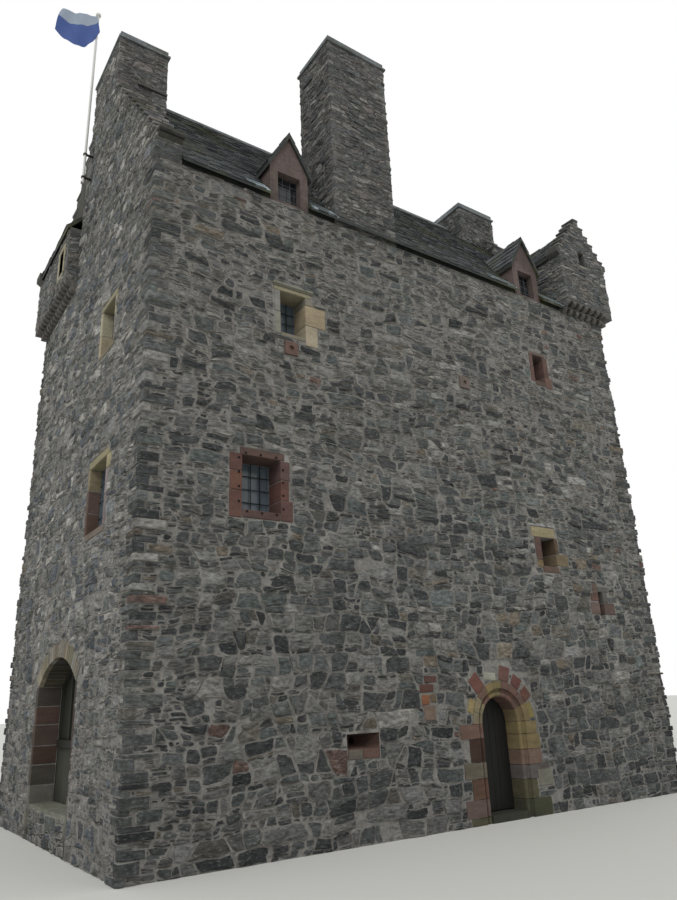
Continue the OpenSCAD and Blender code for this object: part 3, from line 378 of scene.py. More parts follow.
def wall_frame(origin, across, out):
    """A function that takes a place along a wall, its height and how far it stands out of
    the face to a point."""
    origin, across, out = (np.array(v, float) for v in (origin, across, out))
    up = np.array([0.0, 0.0, 1.0])

    def place(u, z, o):
        point = origin + np.multiply.outer(u, across)
        return point + np.multiply.outer(z, up) + np.multiply.outer(o, out)

    place.flip = np.dot(np.cross(across, up), out) < 0
    return place


def pick_tones(rng, n, palette, share=None, spread=0.13):
    """One colour for each stone: one of a palette, made lighter or darker."""
    table = np.array([rgb(c) for c in palette])
    p = None if share is None else np.array(share) / sum(share)
    tone = table[rng.choice(len(table), n, p=p)]
    return tone * (1 + rng.normal(0, spread, (n, 1))).clip(0.6, 1.5)


# Rubble. Stones under this area in square metres get one ring of faces less.
SMALL_STONE = 0.024


def cut(outline, way, end):
    """The part of a convex outline where its product with way is at most end."""
    side = outline @ way - end
    ahead = np.roll(side, -1)
    inside = side <= 0
    where = np.nonzero(inside != (ahead <= 0))[0]
    t = (side[where] / (side[where] - ahead[where]))[:, None]
    new = outline[where] * (1 - t) + np.roll(outline, -1, 0)[where] * t
    order = np.concatenate([np.nonzero(inside)[0], where + 0.5])
    return np.concatenate([outline[inside], new])[np.argsort(order)]


def area_of(outline):
    """Half the sum of the cross products of neighbouring corners."""
    nxt = np.roll(outline, -1, 0)
    return 0.5 * (outline[:, 0] * nxt[:, 1] - outline[:, 1] * nxt[:, 0]).sum()


def split_stones(rng, u0, u1, z0, z1, bed, grain):
    """Outlines of rubble brought to rough beds. Each bed is cut again and again across its
    longer way, by lines that lean a little, until a part is smaller than an area drawn for
    it. Some level cuts leave a thin strip, which becomes a row of pinnings. grain gives a
    place's usual area and proportion. In the end long sides get points between their ends,
    and slow and quick waves bend all."""
    stones, z = [], z0
    while z < z1:
        h = rng.uniform(*bed)
        work = [np.array([[u0, z], [u1, z], [u1, z + h], [u0, z + h]])]
        while work:
            part = work.pop()
            low, high = part.min(0), part.max(0)
            wide, tall = high - low
            usual, aspect = grain(*(low + high) / 2)
            thin = min(wide, tall) < 0.05 and max(wide, tall) < 0.3
            if thin or (
                area_of(part) < usual * math.exp(rng.normal(0, 0.85)) and wide < 5 * tall
            ):
                stones.append(part)
                continue
            share = rng.uniform(0.27, 0.73)
            if wide > aspect * tall * rng.uniform(0.65, 1.5):
                lean = rng.normal(0, 0.26)
                way = np.array([math.cos(lean), math.sin(lean)])
            else:
                lean = rng.normal(0, 0.10)
                way = np.array([math.sin(lean), math.cos(lean)])
                if rng.random() < 0.5:
                    share = rng.uniform(0.14, 0.26)
            reach = part @ way
            end = reach.min() + (reach.max() - reach.min()) * share
            work += [cut(part, way, end), cut(part, -way, -end)]
        z += h
    count = np.array([len(s) for s in stones])
    owner = np.repeat(np.arange(len(stones)), count)
    flat = np.concatenate(stones)
    start = np.repeat(np.cumsum(count) - count, count)
    at = np.arange(len(flat))
    edge = flat[start + (at - start + 1) % count[owner]] - flat
    length = np.sqrt((edge**2).sum(1))
    one, two = (length > 0.14) & (length < 0.32), length >= 0.32
    order = np.argsort(np.concatenate([at, at[one] + 0.5, at[two] + 0.3, at[two] + 0.6]))
    extra = [(flat + edge * 0.5)[one], (flat + edge * 0.34)[two], (flat + edge * 0.67)[two]]
    flat = np.concatenate([flat, *extra])[order]
    owner = np.concatenate([owner, owner[one], owner[two], owner[two]])[order]
    turn = rng.uniform(0, 6.28, 10)
    u, z = flat.T
    bend = 0.05 * np.sin(0.8 * u + 0.5 * z + turn[0])
    bend += 0.022 * np.sin(2.9 * u - 1.7 * z + turn[1])
    bend += 0.012 * np.sin(7.3 * u + 2.2 * z + turn[2])
    bend += 0.010 * np.sin(18 * u + 4 * z + turn[3])
    bend += 0.006 * np.sin(35 * u - 9 * z + turn[4])
    slip = 0.03 * np.sin(1.9 * z + 0.7 * u + turn[5])
    slip += 0.014 * np.sin(6.1 * z - 2.4 * u + turn[6])
    slip += 0.012 * np.sin(17 * z + 5 * u + turn[7])
    slip += 0.007 * np.sin(33 * z - 8 * u + turn[8])
    flat = flat + np.stack([slip, bend], 1)
    return np.split(flat, np.cumsum(np.bincount(owner))[:-1])


def clear_away(stones, gap, bounds, boxes, discs):
    """The outlines cut back to what lies in the bounds and outside the boxes and discs. A box
    cuts a stone along the side that parts it best from the stone's middle."""
    u0, u1, z0, z1 = bounds
    lines = [((1.0, 0.0), u1), ((-1.0, 0.0), -u0), ((0.0, 1.0), z1), ((0.0, -1.0), -z0)]
    boxes = np.array(boxes, float).reshape(-1, 4) + [-gap, gap, -gap, gap]
    ways = np.array([[1.0, 0], [-1, 0], [0, 1], [0, -1]])
    kept = []
    for stone in stones:
        low, high = stone.min(0), stone.max(0)
        mid = stone.mean(0)
        cuts = [(np.array(way), end) for way, end in lines if (stone @ way).max() > end]
        beside = (boxes[:, 0] >= high[0]) | (boxes[:, 1] <= low[0])
        beside |= (boxes[:, 2] >= high[1]) | (boxes[:, 3] <= low[1])
        for b in boxes[~beside]:
            ends = np.array([b[0], -b[1], b[2], -b[3]])
            side = (ends - ways @ mid).argmax()
            cuts.append((ways[side], ends[side]))
        for cu, cz, radius in discs:
            away = np.array([cu, cz]) - mid
            dist = math.hypot(*away)
            if dist < radius + gap + (high - low).max():
                way = away / dist
                cuts.append((way, way @ [cu, cz] - radius - gap))
        for way, end in cuts:
            if len(stone) > 2:
                stone = cut(stone, way, end)
        if len(stone) > 2 and area_of(stone) > 0.0012:
            kept.append(stone)
    return kept


def rubble(
    heap, place, stones, rng, bounds, joint, proud, boxes, discs=(),
    palette=WHINSTONE, share=None, spread=0.2, shade=None, smear=None,
):
    """Stones on a wall from their outlines. An outline is drawn in by half a joint along its
    corners' halving lines, and its sharp corners are broken off. Rings of it, each drawn in
    further, make the stone's foot, its broken edge and its cleft face, which leans and is
    uneven; small stones have one ring less. shade takes places and heights and gives a factor
    on the stones' colour there, which paints light and shade on the wall; smear takes heights
    and says how far the mortar runs over the stones' edges."""
    stones = clear_away(stones, joint / 2, bounds, boxes, discs)
    count = np.array([len(s) for s in stones])
    owner = np.repeat(np.arange(len(stones)), count)
    corner = np.concatenate(stones)
    start = np.repeat(np.cumsum(count) - count, count)
    index = np.arange(len(owner)) - start
    nxt = start + (index + 1) % count[owner]
    prev = start + (index - 1) % count[owner]
    edge = corner[nxt] - corner
    length = np.sqrt((edge**2).sum(1)) + 1e-9
    inward = np.stack([-edge[:, 1], edge[:, 0]], 1) / length[:, None]
    both = inward + inward[prev]
    draw = joint / 2 * rng.uniform(0.3, 1.9, len(stones))[owner]
    square = np.maximum(1 + (inward * inward[prev]).sum(1), 0.45)
    corner = corner + both * (draw / square)[:, None]
    edge = corner[nxt] - corner
    length = np.sqrt((edge**2).sum(1)) + 1e-9
    turn = (inward[prev] * edge).sum(1) / length
    most = np.minimum(0.34 * length, 0.34 * length[prev])
    broken = np.minimum(most, rng.uniform(0.004, 0.045, len(length)))
    two = (broken > 0.009) & (turn > 0.4)
    after = corner + edge * (broken / length * two)[:, None]
    before = corner - edge[prev] * (broken / length[prev])[:, None]
    at = np.arange(len(owner)).astype(float)
    line = np.argsort(np.concatenate([at, at[two] - 0.2]))
    owner = np.concatenate([owner, owner[two]])[line]
    corner = np.concatenate([after, before[two]])[line]
    counts = np.bincount(owner, minlength=len(stones))
    area = np.array([area_of(s) for s in stones])
    for k, tiny in [(k, tiny) for k in range(3, counts.max() + 1) for tiny in (False, True)]:
        mine = (counts[owner] == k) & ((area[owner] < SMALL_STONE) == tiny)
        if not mine.any():
            continue
        outline = corner[mine].reshape(-1, k, 2)
        middle = outline.mean(1, keepdims=True)
        shift = outline - middle
        size = np.sqrt((shift**2).sum(2)).mean(1)
        n = len(shift)
        shift = shift * (1 - rng.uniform(0, 0.05, (n, k, 1)))
        big = np.clip(size / 0.09, 0.5, 1.3)[:, None]
        rise = proud * rng.uniform(0.15, 1.7, (n, 1)) * big
        lean = rng.normal(0, 0.06, (n, 2))
        inset = rng.uniform(0.006, 0.014, (n, 1)) / size[:, None]
        # each ring: how far it is drawn in, its height, its unevenness, the lime on it
        face = (inset + rng.uniform(0.2, 0.4, (n, 1)), 1.0, 0.3, 0.0)
        levels = [(0 * inset, -0.35, 0.0, 1.0), (inset, 0.6, 0.35, 0.62)]
        if not tiny:
            levels.append(face)
        flats, outs = [], []
        for inner, level, rough, _ in levels:
            raised = level > 0
            ring = 1 - inner * rng.uniform(0.7, 1.3, (n, k)) * raised
            ring = shift * ring.clip(0.3)[..., None]
            flats.append(middle + ring)
            uneven = rise * (level + rng.uniform(-rough, rough, (n, k)))
            outs.append(uneven + (ring @ lean[:, :, None])[..., 0] * raised)
        flat = np.concatenate([*flats, middle], 1)
        out = np.concatenate([*outs, rise * rng.uniform(0.8, 1.4, (n, 1))], 1)
        points = place(flat[..., 0], flat[..., 1], out)
        rings = len(levels)
        per = rings * k + 1
        base = (np.arange(n) * per)[:, None]
        j = np.arange(k)
        jn = (j + 1) % k
        quads = np.concatenate(
            [
                np.stack([low + j, low + jn, low + k + jn, low + k + j], 2)
                for low in (base + r * k for r in range(rings - 1))
            ],
            1,
        ).reshape(-1, 4)
        inmost = base + (rings - 1) * k
        peak = np.broadcast_to(base + rings * k, (n, k))
        tris = np.stack([inmost + j, inmost + jn, peak], 2).reshape(-1, 3)
        if place.flip:
            quads, tris = quads[:, ::-1], tris[:, ::-1]
        tone = pick_tones(rng, n, palette, share, spread)
        z = middle[:, 0, 1]
        if shade is not None:
            tone = tone * shade(middle[:, 0, 0], z)[:, None]
        more = rng.uniform(-0.2, 0.2, n) + (smear(z) if smear else 0.0)
        rims = np.array([*np.repeat([v[3] for v in levels], k), 0.0])[None, :] + more[:, None]
        tones = np.concatenate([np.repeat(tone[:, None, :], per, 1), rims[..., None]], 2)
        heap.add(points.reshape(-1, 3), quads, tris, tones.reshape(-1, 4))


def chamfer_template():
    """Faces of a block whose 8 corners are each cut by a small triangle: for each corner
    (i, j, k), the vertex pulled in along the two axes other than its own, three of them."""
    corner = [(i, j, k) for i in (0, 1) for j in (0, 1) for k in (0, 1)]
    index = {(c, a): 3 * n + a for n, c in enumerate(corner) for a in range(3)}
    quads, tris = [], []
    for c in corner:
        tri = [index[(c, 0)], index[(c, 1)], index[(c, 2)]]
        tris.append(tri if sum(c) % 2 else tri[::-1])
    for axis in range(3):
        b, d = (axis + 1) % 3, (axis + 2) % 3
        for side in (0, 1):
            loop = []
            for vb, vd in ((0, 0), (1, 0), (1, 1), (0, 1)):
                c = [0, 0, 0]
                c[axis], c[b], c[d] = side, vb, vd
                loop.append(index[(tuple(c), axis)])
            quads.append(loop if side else loop[::-1])
        for vb in (0, 1):
            for vd in (0, 1):
                ends = []
                for va in (0, 1):
                    c = [0, 0, 0]
                    c[axis], c[b], c[d] = va, vb, vd
                    ends.append(tuple(c))
                order = ((ends[0], b), (ends[1], b), (ends[1], d), (ends[0], d))
                loop = [index[key] for key in order]
                quads.append(loop if (vb + vd) % 2 else loop[::-1])
    return np.array(corner), np.array(quads), np.array(tris)


CORNERS, BLOCK_QUADS, BLOCK_TRIS = chamfer_template()


def blocks(heap, corners, bevel, tones):
    """Blocks with cut edges from n by 8 corners, ordered as CORNERS. A vertex is the corner
    moved by the bevel along the block's own edges."""
    corners = np.asarray(corners, float)
    n = len(corners)
    grid = corners.reshape(n, 2, 2, 2, 3)
    share = []
    for axis in (1, 2, 3):
        edges = (grid.take(1, axis) - grid.take(0, axis)).reshape(n, 4, 3)
        length = np.linalg.norm(edges.mean(1), axis=1)
        share.append(np.minimum(0.45, bevel / np.maximum(length, 1e-6)))
    par = np.repeat(CORNERS[None, :, None, :].astype(float), 3, 2).repeat(n, 0)
    pull = np.where(CORNERS[:, None, :] == 0, 1.0, -1.0) * (1 - np.eye(3))[None]
    par = par + pull[None] * np.stack(share, 1)[:, None, None, :]
    w = [np.stack([1 - par[..., a], par[..., a]], -1) for a in range(3)]
    points = np.einsum("ncai,ncaj,ncak,nijkx->ncax", *w, grid).reshape(n, 24, 3)
    face = points[:, BLOCK_QUADS[1]]
    normal = np.cross(face[:, 1] - face[:, 0], face[:, 2] - face[:, 0])
    outward = ((face.mean(1) - corners.mean(1)) * normal).sum(1) > 0
    base = (np.arange(n) * 24)[:, None, None]
    quads, tris = (
        np.where(outward[:, None, None], f + base, (f + base)[:, :, ::-1])
        for f in (BLOCK_QUADS[None], BLOCK_TRIS[None])
    )
    tones = np.broadcast_to(np.asarray(tones, float).reshape(-1, 3), (n, 3))
    tones = np.repeat(np.concatenate([tones, np.zeros((n, 1))], 1), 24, 0)
    heap.add(points.reshape(-1, 3), quads.reshape(-1, 4), tris.reshape(-1, 3), tones)


def wall_blocks(heap, place, boxes, outs, bevel, tones, rng=None, jitter=0.0):
    """Blocks on a wall: boxes are low u, high u, low z, high z; outs their back and front."""
    boxes = np.asarray(boxes, float).reshape(-1, 4)
    outs = np.broadcast_to(np.asarray(outs, float).reshape(-1, 2), (len(boxes), 2))
    u = boxes[:, :2][:, CORNERS[:, 0]]
    z = boxes[:, 2:][:, CORNERS[:, 2]]
    o = outs[:, CORNERS[:, 1]]
    if rng is not None:
        u = u + rng.uniform(-jitter, jitter, u.shape)
        z = z + rng.uniform(-jitter, jitter, z.shape)
    blocks(heap, place(u, z, o), bevel, tones)


def corner_stones(
    heap, rng, x, y, sx, sy, z0, z1, thick, reach, proud, joint, palette, share, shade=None
):
    """Long flat stones that bind a corner, lying one way and then the other. Each is an L in
    plan with its outer edges cut. Returns their heights and reach along X and Y."""
    rows = []
    z, turn = z0, rng.integers(2)
    while z < z1 - 0.02:
        h = min(rng.uniform(*thick), z1 - z)
        if z1 - z - h < thick[0]:
            h = z1 - z
        long, short = rng.uniform(0.5, 1) * reach[1], rng.uniform(0.6, 1.2) * reach[0]
        rows.append((z, z + h, *((long, short) if turn else (short, long))))
        z += h
        turn = 1 - turn if rng.random() < 0.8 else turn
    rows = np.array(rows)
    n = len(rows)
    p = proud * rng.uniform(0.2, 1.7, (n, 1))
    a, b = rows[:, 2:3], rows[:, 3:4]
    c = 0.016 * rng.uniform(0.5, 2.0, (n, 1))
    zero = np.zeros((n, 1))
    # the L's outline, from one end over the outer edges to the other, inwards along each wall
    along = np.concatenate([a, a - c, c - p, -p, -p, zero - 0.004], 1)
    aside = np.concatenate([zero - 0.004, -p, -p, c - p, b - c, b], 1)
    foot, head = rows[:, 0] + joint / 2, rows[:, 1] - joint / 2
    levels = np.stack([foot, foot + 0.012, head - 0.012, head], 1)
    shrink = np.array([0.01, 0, 0, 0.01])[None, :, None]
    px = along[:, None, :] + np.where(along[:, None, :] < 0, shrink, 0)
    py = aside[:, None, :] + np.where(aside[:, None, :] < 0, shrink, 0)
    px = px + rng.normal(0, 0.004, px.shape)
    py = py + rng.normal(0, 0.004, py.shape)
    pz = np.broadcast_to(levels[:, :, None], px.shape) + rng.normal(0, 0.003, (n, 1, 6))
    pz = pz + rng.normal(0, 0.002, px.shape)
    pts = np.stack([x - sx * px, y - sy * py, pz], 3)
    base = (np.arange(n) * 24)[:, None, None]
    r, k = np.meshgrid(np.arange(3), np.arange(5), indexing="ij")
    at = r * 6 + k
    quads = np.stack([at, at + 1, at + 7, at + 6], 2).reshape(1, -1, 4) + base
    low = np.array([[0, 3, 2, 1], [0, 5, 4, 3]])[None] + base
    high = np.array([[18, 19, 20, 21], [18, 21, 22, 23]])[None] + base
    quads = np.concatenate([quads, low, high], 1)[:, :, ::-1].reshape(-1, 4)
    if sx * sy < 0:
        quads = quads[:, ::-1]
    tone = pick_tones(rng, n, palette, share, 0.2)
    if shade is not None:
        tone = tone * shade(rows[:, 0])[:, None]
    rim = np.tile(np.array([1, 0.35, 0.1, 0.1, 0.35, 1]), (4, 1))
    rim[0], rim[3] = 0.85, 0.85
    tones = np.concatenate([np.repeat(tone, 24, 0), np.tile(rim.ravel(), n)[:, None]], 1)
    heap.add(pts.reshape(-1, 3), quads, (), tones)
    return rows


def clear_of_rows(left, right, half_left, half_right, col):
    """Boxes that keep a face's rubble off the corner stones at its two ends."""
    boxes = [(-half_left - 1, -half_left + r[col], r[0], r[1]) for r in left]
    return boxes + [(half_right - r[col], half_right + 1, r[0], r[1]) for r in right]


# Materials
def add_node(tree, kind, links=(), **settings):
    """A node with its settings; links maps an input's name or number to a value or output."""
    node = tree.nodes.new(kind)
    for key, value in settings.items():
        setattr(node, key, value)
    for key, value in dict(links).items():
        if isinstance(value, bpy.types.NodeSocket):
            tree.links.new(value, node.inputs[key])
        else:
            node.inputs[key].default_value = value
    return node


MULTIPLY = dict(data_type="RGBA", blend_type="MULTIPLY")


def weathered(name, base, layers=(), bumps=(), roughness=0.9, metallic=0.0, specular=0.25):
    """A material in layers. base is a linear colour, or "tone" for the piece's own attribute.
    A layer is (how, spot in mm, stretch, low, high, colour or factors): a noise whose spots
    have that real size goes from 0 at low to 1 at high. "cover" lays its colour on there;
    "times" multiplies by factors that run from the first to the second; "rim" covers too, but
    grows in from the stones' edges; "height" multiplies by factors between two levels in
    metres. bumps are (spot in mm, stretch, depth in metres)."""
    mat = bpy.data.materials.new(name)
    mat.use_nodes = True
    tree = mat.node_tree
    shader = tree.nodes["Principled BSDF"]
    shader.inputs["Roughness"].default_value = roughness
    shader.inputs["Metallic"].default_value = metallic
    shader.inputs["Specular IOR Level"].default_value = specular
    coord = add_node(tree, "ShaderNodeTexCoord").outputs["Object"]
    tone = add_node(tree, "ShaderNodeAttribute", attribute_name="tone")
    colour = tone.outputs["Color"] if base == "tone" else (*base, 1)
    spots = {}
    for how, size, stretch, *_ in [*layers, *(("bump", b[0], b[1]) for b in bumps)]:
        if how != "height" and (size, stretch) not in spots:
            links = {"Vector": coord, "Scale": stretch}
            place = add_node(tree, "ShaderNodeMapping", links).outputs[0]
            links = {"Vector": place, "Scale": 500.0 / size, "Detail": 5.0, "Roughness": 0.62}
            spots[size, stretch] = add_node(tree, "ShaderNodeTexNoise", links).outputs["Fac"]
    for how, size, stretch, low, high, paint in layers:
        if how == "height":
            level = add_node(tree, "ShaderNodeSeparateXYZ", {0: coord}).outputs["Z"]
        elif how == "rim":
            links = {0: tone.outputs["Alpha"], 1: spots[size, stretch]}
            level = add_node(tree, "ShaderNodeMath", links, operation="ADD").outputs[0]
        else:
            level = spots[size, stretch]
        links = {"Value": level, "From Min": low, "From Max": high}
        fac = add_node(tree, "ShaderNodeMapRange", links).outputs[0]
        if how in ("times", "height"):
            ends = ((*(v if isinstance(v, tuple) else (v, v, v)), 1.0) for v in paint)
            links = {0: fac, **dict(zip((6, 7), ends))}
            between = add_node(tree, "ShaderNodeMix", links, data_type="RGBA").outputs[2]
            links = {0: 1.0, 6: colour, 7: between}
            colour = add_node(tree, "ShaderNodeMix", links, **MULTIPLY).outputs[2]
        else:
            cover, most = paint
            links = {0: fac, 1: most}
            fac = add_node(tree, "ShaderNodeMath", links, operation="MULTIPLY").outputs[0]
            links = {0: fac, 6: colour, 7: (*cover, 1)}
            colour = add_node(tree, "ShaderNodeMix", links, data_type="RGBA").outputs[2]
    if isinstance(colour, tuple):
        shader.inputs["Base Color"].default_value = colour
    else:
        tree.links.new(colour, shader.inputs["Base Color"])
    normal = None
    for size, stretch, depth in bumps:
        links = {"Height": spots[size, stretch], "Distance": depth, "Strength": 1.0}
        if normal is not None:
            links["Normal"] = normal
        normal = add_node(tree, "ShaderNodeBump", links).outputs[0]
    if normal is not None:
        tree.links.new(normal, shader.inputs["Normal"])
    return mat


def flag_cloth(upper, lower):
    """Woven flag cloth in two plain colours, split along its length by the UV map."""
    mat = weathered("woven flag cloth", upper, roughness=0.85, specular=0.2)
    tree = mat.node_tree
    coord = add_node(tree, "ShaderNodeTexCoord").outputs["UV"]
    part = add_node(tree, "ShaderNodeSeparateXYZ", {0: coord}).outputs[1]
    links = {"Value": part, "From Min": 0.62, "From Max": 0.64}
    fac = add_node(tree, "ShaderNodeMapRange", links).outputs[0]
    links = {0: fac, 6: (*lower, 1), 7: (*upper, 1)}
    colour = add_node(tree, "ShaderNodeMix", links, data_type="RGBA").outputs[2]
    # real threads are too fine to show, so they are drawn coarser
    links = {"Vector": coord, "Scale": 160.0}
    weave = add_node(tree, "ShaderNodeTexWave", links, bands_direction="X").outputs["Color"]
    links = {0: 0.12, 6: colour, 7: weave}
    colour = add_node(tree, "ShaderNodeMix", links, **MULTIPLY).outputs[2]
    tree.links.new(colour, tree.nodes["Principled BSDF"].inputs["Base Color"])
    return mat


# How a noise is stretched: in flat beds, in deeper beds, or upright as wood grain
EVEN, FLAT, BEDDED, UPRIGHT = (1, 1, 1), (1, 1, 2.3), (1, 1, 4), (1, 1, 0.07)


def mottle(size, *factors, low=0.3, high=0.7, stretch=EVEN):
    """A layer of darker and lighter spots of a size in mm."""
    return ("times", size, stretch, low, high, factors)


def patches(size, low, high, code, most, stretch=EVEN):
    """A layer of patches of another colour, of a size in mm."""
    return ("cover", size, stretch, low, high, (rgb(code), most))


def by_height(low, high, *factors):
    """A layer that is darker or lighter over one height than under another."""
    return ("height", 0, EVEN, low, high, factors)


def recipes(mortar, lead):
    """For each finish the material's name, base colour, layers, bumps and other settings."""
    pointing = [
        mottle(700, 0.72, 1.12, low=0.32), mottle(90, 0.8, 1.15, low=0.32), mottle(24, 0.72, 1.2),
    ]
    rough = dict(roughness=0.95)
    tooled = [
        mottle(260, 0.78, 1.16, low=0.32, stretch=BEDDED),
        mottle(18, 0.84, 1.14),
        ("rim", 85, EVEN, 1.05, 1.3, (mortar, 0.8)),
    ]
    panes = ([mottle(240, 0.6, 1.4)], [(130, EVEN, 0.003)], dict(roughness=0.16, specular=0.6))
    return {
        # split whinstone: own grey for each stone, cleft grain, lichen, dark bedded streaks that
        # are painted shadow under the flat stones, lime left on the edges
        "rubble": (
            "split whinstone", "tone",
            [
                mottle(60, 0.42, 1.7, high=0.72, stretch=FLAT),
                mottle(420, (0.9, 0.9, 0.92), (1.1, 1.1, 1.07)),
                mottle(150, 0.8, 1.2, low=0.32),
                patches(30, 0.56, 0.74, "#8f908c", 0.5, FLAT),
                # painted shadow: dark streaks along the beds, as under the flat stones
                patches(110, 0.57, 0.66, "#353634", 0.5, BEDDED),
                ("rim", 85, EVEN, 1.06, 1.32, (mortar, 0.92)),
            ],
            [(60, FLAT, 0.024), (30, FLAT, 0.008)], {},
        ),
        # lime and sand pointing, trowelled and weathered: gritty and mottled, darker low down and
        # high up, with dark bedded streaks that are painted shadow under the stones
        "mortar": (
            "lime mortar", mortar,
            [
                *pointing,
                by_height(0.0, 5.0, 0.88, 1.0),
                by_height(4.5, 8.0, 1.0, 0.88),
                # painted shadow: dark streaks along the beds, as under the flat stones
                patches(110, 0.56, 0.66, "#4a4947", 0.6, BEDDED),
            ],
            [(160, EVEN, 0.015), (24, EVEN, 0.006)], rough,
        ),
        # the same on the stacks and turrets, blackened by smoke
        "sooty mortar": (
            "sooty mortar", rgb("#5a5956"), pointing,
            [(160, EVEN, 0.015), (24, EVEN, 0.006)], rough,
        ),
        # dressed sandstone, tooled and weathered: fine beds, sandy grain, dark stains
        "sandstone": (
            "dressed sandstone", "tone", tooled, [(70, EVEN, 0.006), (18, EVEN, 0.002)], {},
        ),
        # the same with moss where it stays damp
        "mossy sandstone": (
            "mossy dressed sandstone", "tone",
            [*tooled, patches(300, 0.52, 0.8, "#43442f", 0.5)],
            [(70, EVEN, 0.006), (18, EVEN, 0.002)], {},
        ),
        # pink-brown sandstone gablet, mottled by weather
        "gablet": (
            "pink sandstone gablet", rgb("#5f5350"),
            [
                mottle(300, 0.7, 1.25),
                mottle(30, 0.78, 1.2),
                patches(240, 0.55, 0.75, "#5e584c", 0.7),
            ],
            [(120, EVEN, 0.01), (30, EVEN, 0.004)], {},
        ),
        # red sandstone round the gun loop, its upper half black with damp
        "loop stone": (
            "damp red sandstone", rgb("#664f46"),
            [by_height(1.32, 1.42, 1.0, 0.36), mottle(120, 0.7, 1.25), mottle(30, 0.8, 1.2)],
            [(120, EVEN, 0.012), (30, EVEN, 0.004)], {},
        ),
        # two small sandstones, the lower one red, the upper one pale
        "boss stone": (
            "holed sandstone", rgb("#66514b"),
            [by_height(8.12, 8.16, 1.0, (1.15, 1.45, 1.5)), mottle(60, 0.75, 1.2)],
            [(60, EVEN, 0.006)], {},
        ),
        # weathered cope stone with moss in its hollows
        "cope": (
            "weathered cope stone", rgb("#73787a"),
            [
                mottle(350, 0.7, 1.3),
                mottle(35, 0.75, 1.2),
                patches(260, 0.54, 0.7, "#4a4c40", 0.8),
            ],
            [(120, EVEN, 0.012), (35, EVEN, 0.003)], {},
        ),
        # flat whinstone steps, wet and dark, with a little moss in patches
        "step": (
            "mossy whinstone", rgb("#44443f"),
            [
                mottle(300, 0.65, 1.3),
                mottle(35, 0.72, 1.3),
                patches(220, 0.52, 0.68, "#55503a", 0.6),
            ],
            [(120, EVEN, 0.012), (35, EVEN, 0.004)], {},
        ),
        # the same stone laid in thin pieces, each its own grey
        "step stones": (
            "mossy whinstone slabs", "tone",
            [
                mottle(60, 0.5, 1.6, high=0.72, stretch=(1, 1, 1.7)),
                patches(300, 0.5, 0.7, "#565039", 0.65),
            ],
            [(60, EVEN, 0.02), (22, EVEN, 0.006)], {},
        ),
        # small corbels rounded below, whinstone browned by weather
        "corbel": (
            "browned whinstone corbels", rgb("#605e5a"),
            [mottle(120, 0.6, 1.35), mottle(30, 0.75, 1.25)],
            [(60, EVEN, 0.014), (25, EVEN, 0.004)], {},
        ),
        # worn sandstone flags, green in patches, and dark at the foot: partly the grass over
        # them, partly painted shade against the light from the pale floor
        "flagstone": (
            "worn flagstone", rgb("#6a6b60"),
            [
                # dark at the foot: grass over it and painted shade
                by_height(0.15, 0.5, 0.25, 1.25),
                mottle(350, 0.7, 1.2),
                mottle(35, 0.8, 1.15),
                patches(160, 0.5, 0.7, "#44452f", 0.6),
            ],
            [(120, EVEN, 0.006)], {},
        ),
        # riven slate, old and wet: each its own grey, moss in patches
        "slate": (
            "riven slate", "tone",
            [
                mottle(60, 0.7, 1.3),
                patches(700, 0.5, 0.66, "#4d4f31", 0.7),
                patches(90, 0.6, 0.7, "#6d6a4a", 0.55),
            ],
            [(60, EVEN, 0.006)], dict(roughness=0.7, specular=0.4),
        ),
        # sheet lead, dressed by hand and weathered to a dull pale blue-grey
        "lead": (
            "weathered sheet lead", lead,
            [
                mottle(180, 0.6, 1.15),
                ("cover", 60, EVEN, 0.55, 0.7, (tuple(min(1.0, c * 1.5) for c in lead), 0.6)),
            ],
            [(220, EVEN, 0.01)], dict(roughness=0.5, metallic=0.25, specular=0.5),
        ),
        # old crown glass in lead, dark from outside, each pane a little out of true; its
        # blue-grey is partly a painted reflection of the sky, and the attic glass is painted
        # darker still as shade under the roof
        "glass": ("old window glass", rgb("#556068"), *panes),
        "attic glass": ("old window attic glass", rgb("#232529"), *panes),
        # wrought iron, hammered and blacked, dull with a little rust
        "iron": (
            "wrought iron", "tone", [patches(60, 0.58, 0.72, "#4a3528", 0.8)],
            [(25, EVEN, 0.001)], dict(roughness=0.6, metallic=0.6),
        ),
        # tarred oak, planed upright, close to black
        "dark boards": (
            "tarred oak boards", rgb("#1a1a19"),
            [mottle(30, 0.7, 1.3, high=0.75, stretch=UPRIGHT), mottle(300, 0.8, 1.2)],
            [(30, UPRIGHT, 0.003)], dict(roughness=0.6),
        ),
        # pine under old olive-grey paint, and close to black over the middle rail
        "painted boards": (
            "painted pine boards", rgb("#3e4038"),
            [
                by_height(1.46, 1.48, 1.0, 0.3),
                by_height(1.63, 1.66, 1.0, 1.7),
                mottle(30, 0.8, 1.2, high=0.75, stretch=UPRIGHT),
                mottle(300, 0.8, 1.15),
            ],
            [(30, UPRIGHT, 0.002)], dict(roughness=0.6),
        ),
        # pine floor boards, bare and worn, their grain along the keep
        "floor boards": (
            "pine floor boards", rgb("#74583d"),
            [mottle(30, 0.75, 1.2, high=0.75, stretch=(0.07, 1, 1))],
            [(30, (0.07, 1, 1), 0.002)], dict(roughness=0.7),
        ),
        # white gloss paint, dulled and a little streaked
        "paint": (
            "white gloss paint", rgb("#dcdcd8"), [mottle(200, 0.84, 1.05, stretch=UPRIGHT)],
            [], dict(roughness=0.35),
        ),
    }


def finish(key):
    """The material of that name, made the first time that it is asked for."""
    if key not in finish.made:
        colours = bpy.context.scene.keep_colours
        if key == "flag":
            made = flag_cloth(tuple(colours.flag_upper), tuple(colours.flag_lower))
        else:
            *recipe, settings = recipes(tuple(colours.mortar), tuple(colours.lead))[key]
            made = weathered(*recipe, **settings)
        finish.made[key] = made
    return finish.made[key]


finish.made = {}

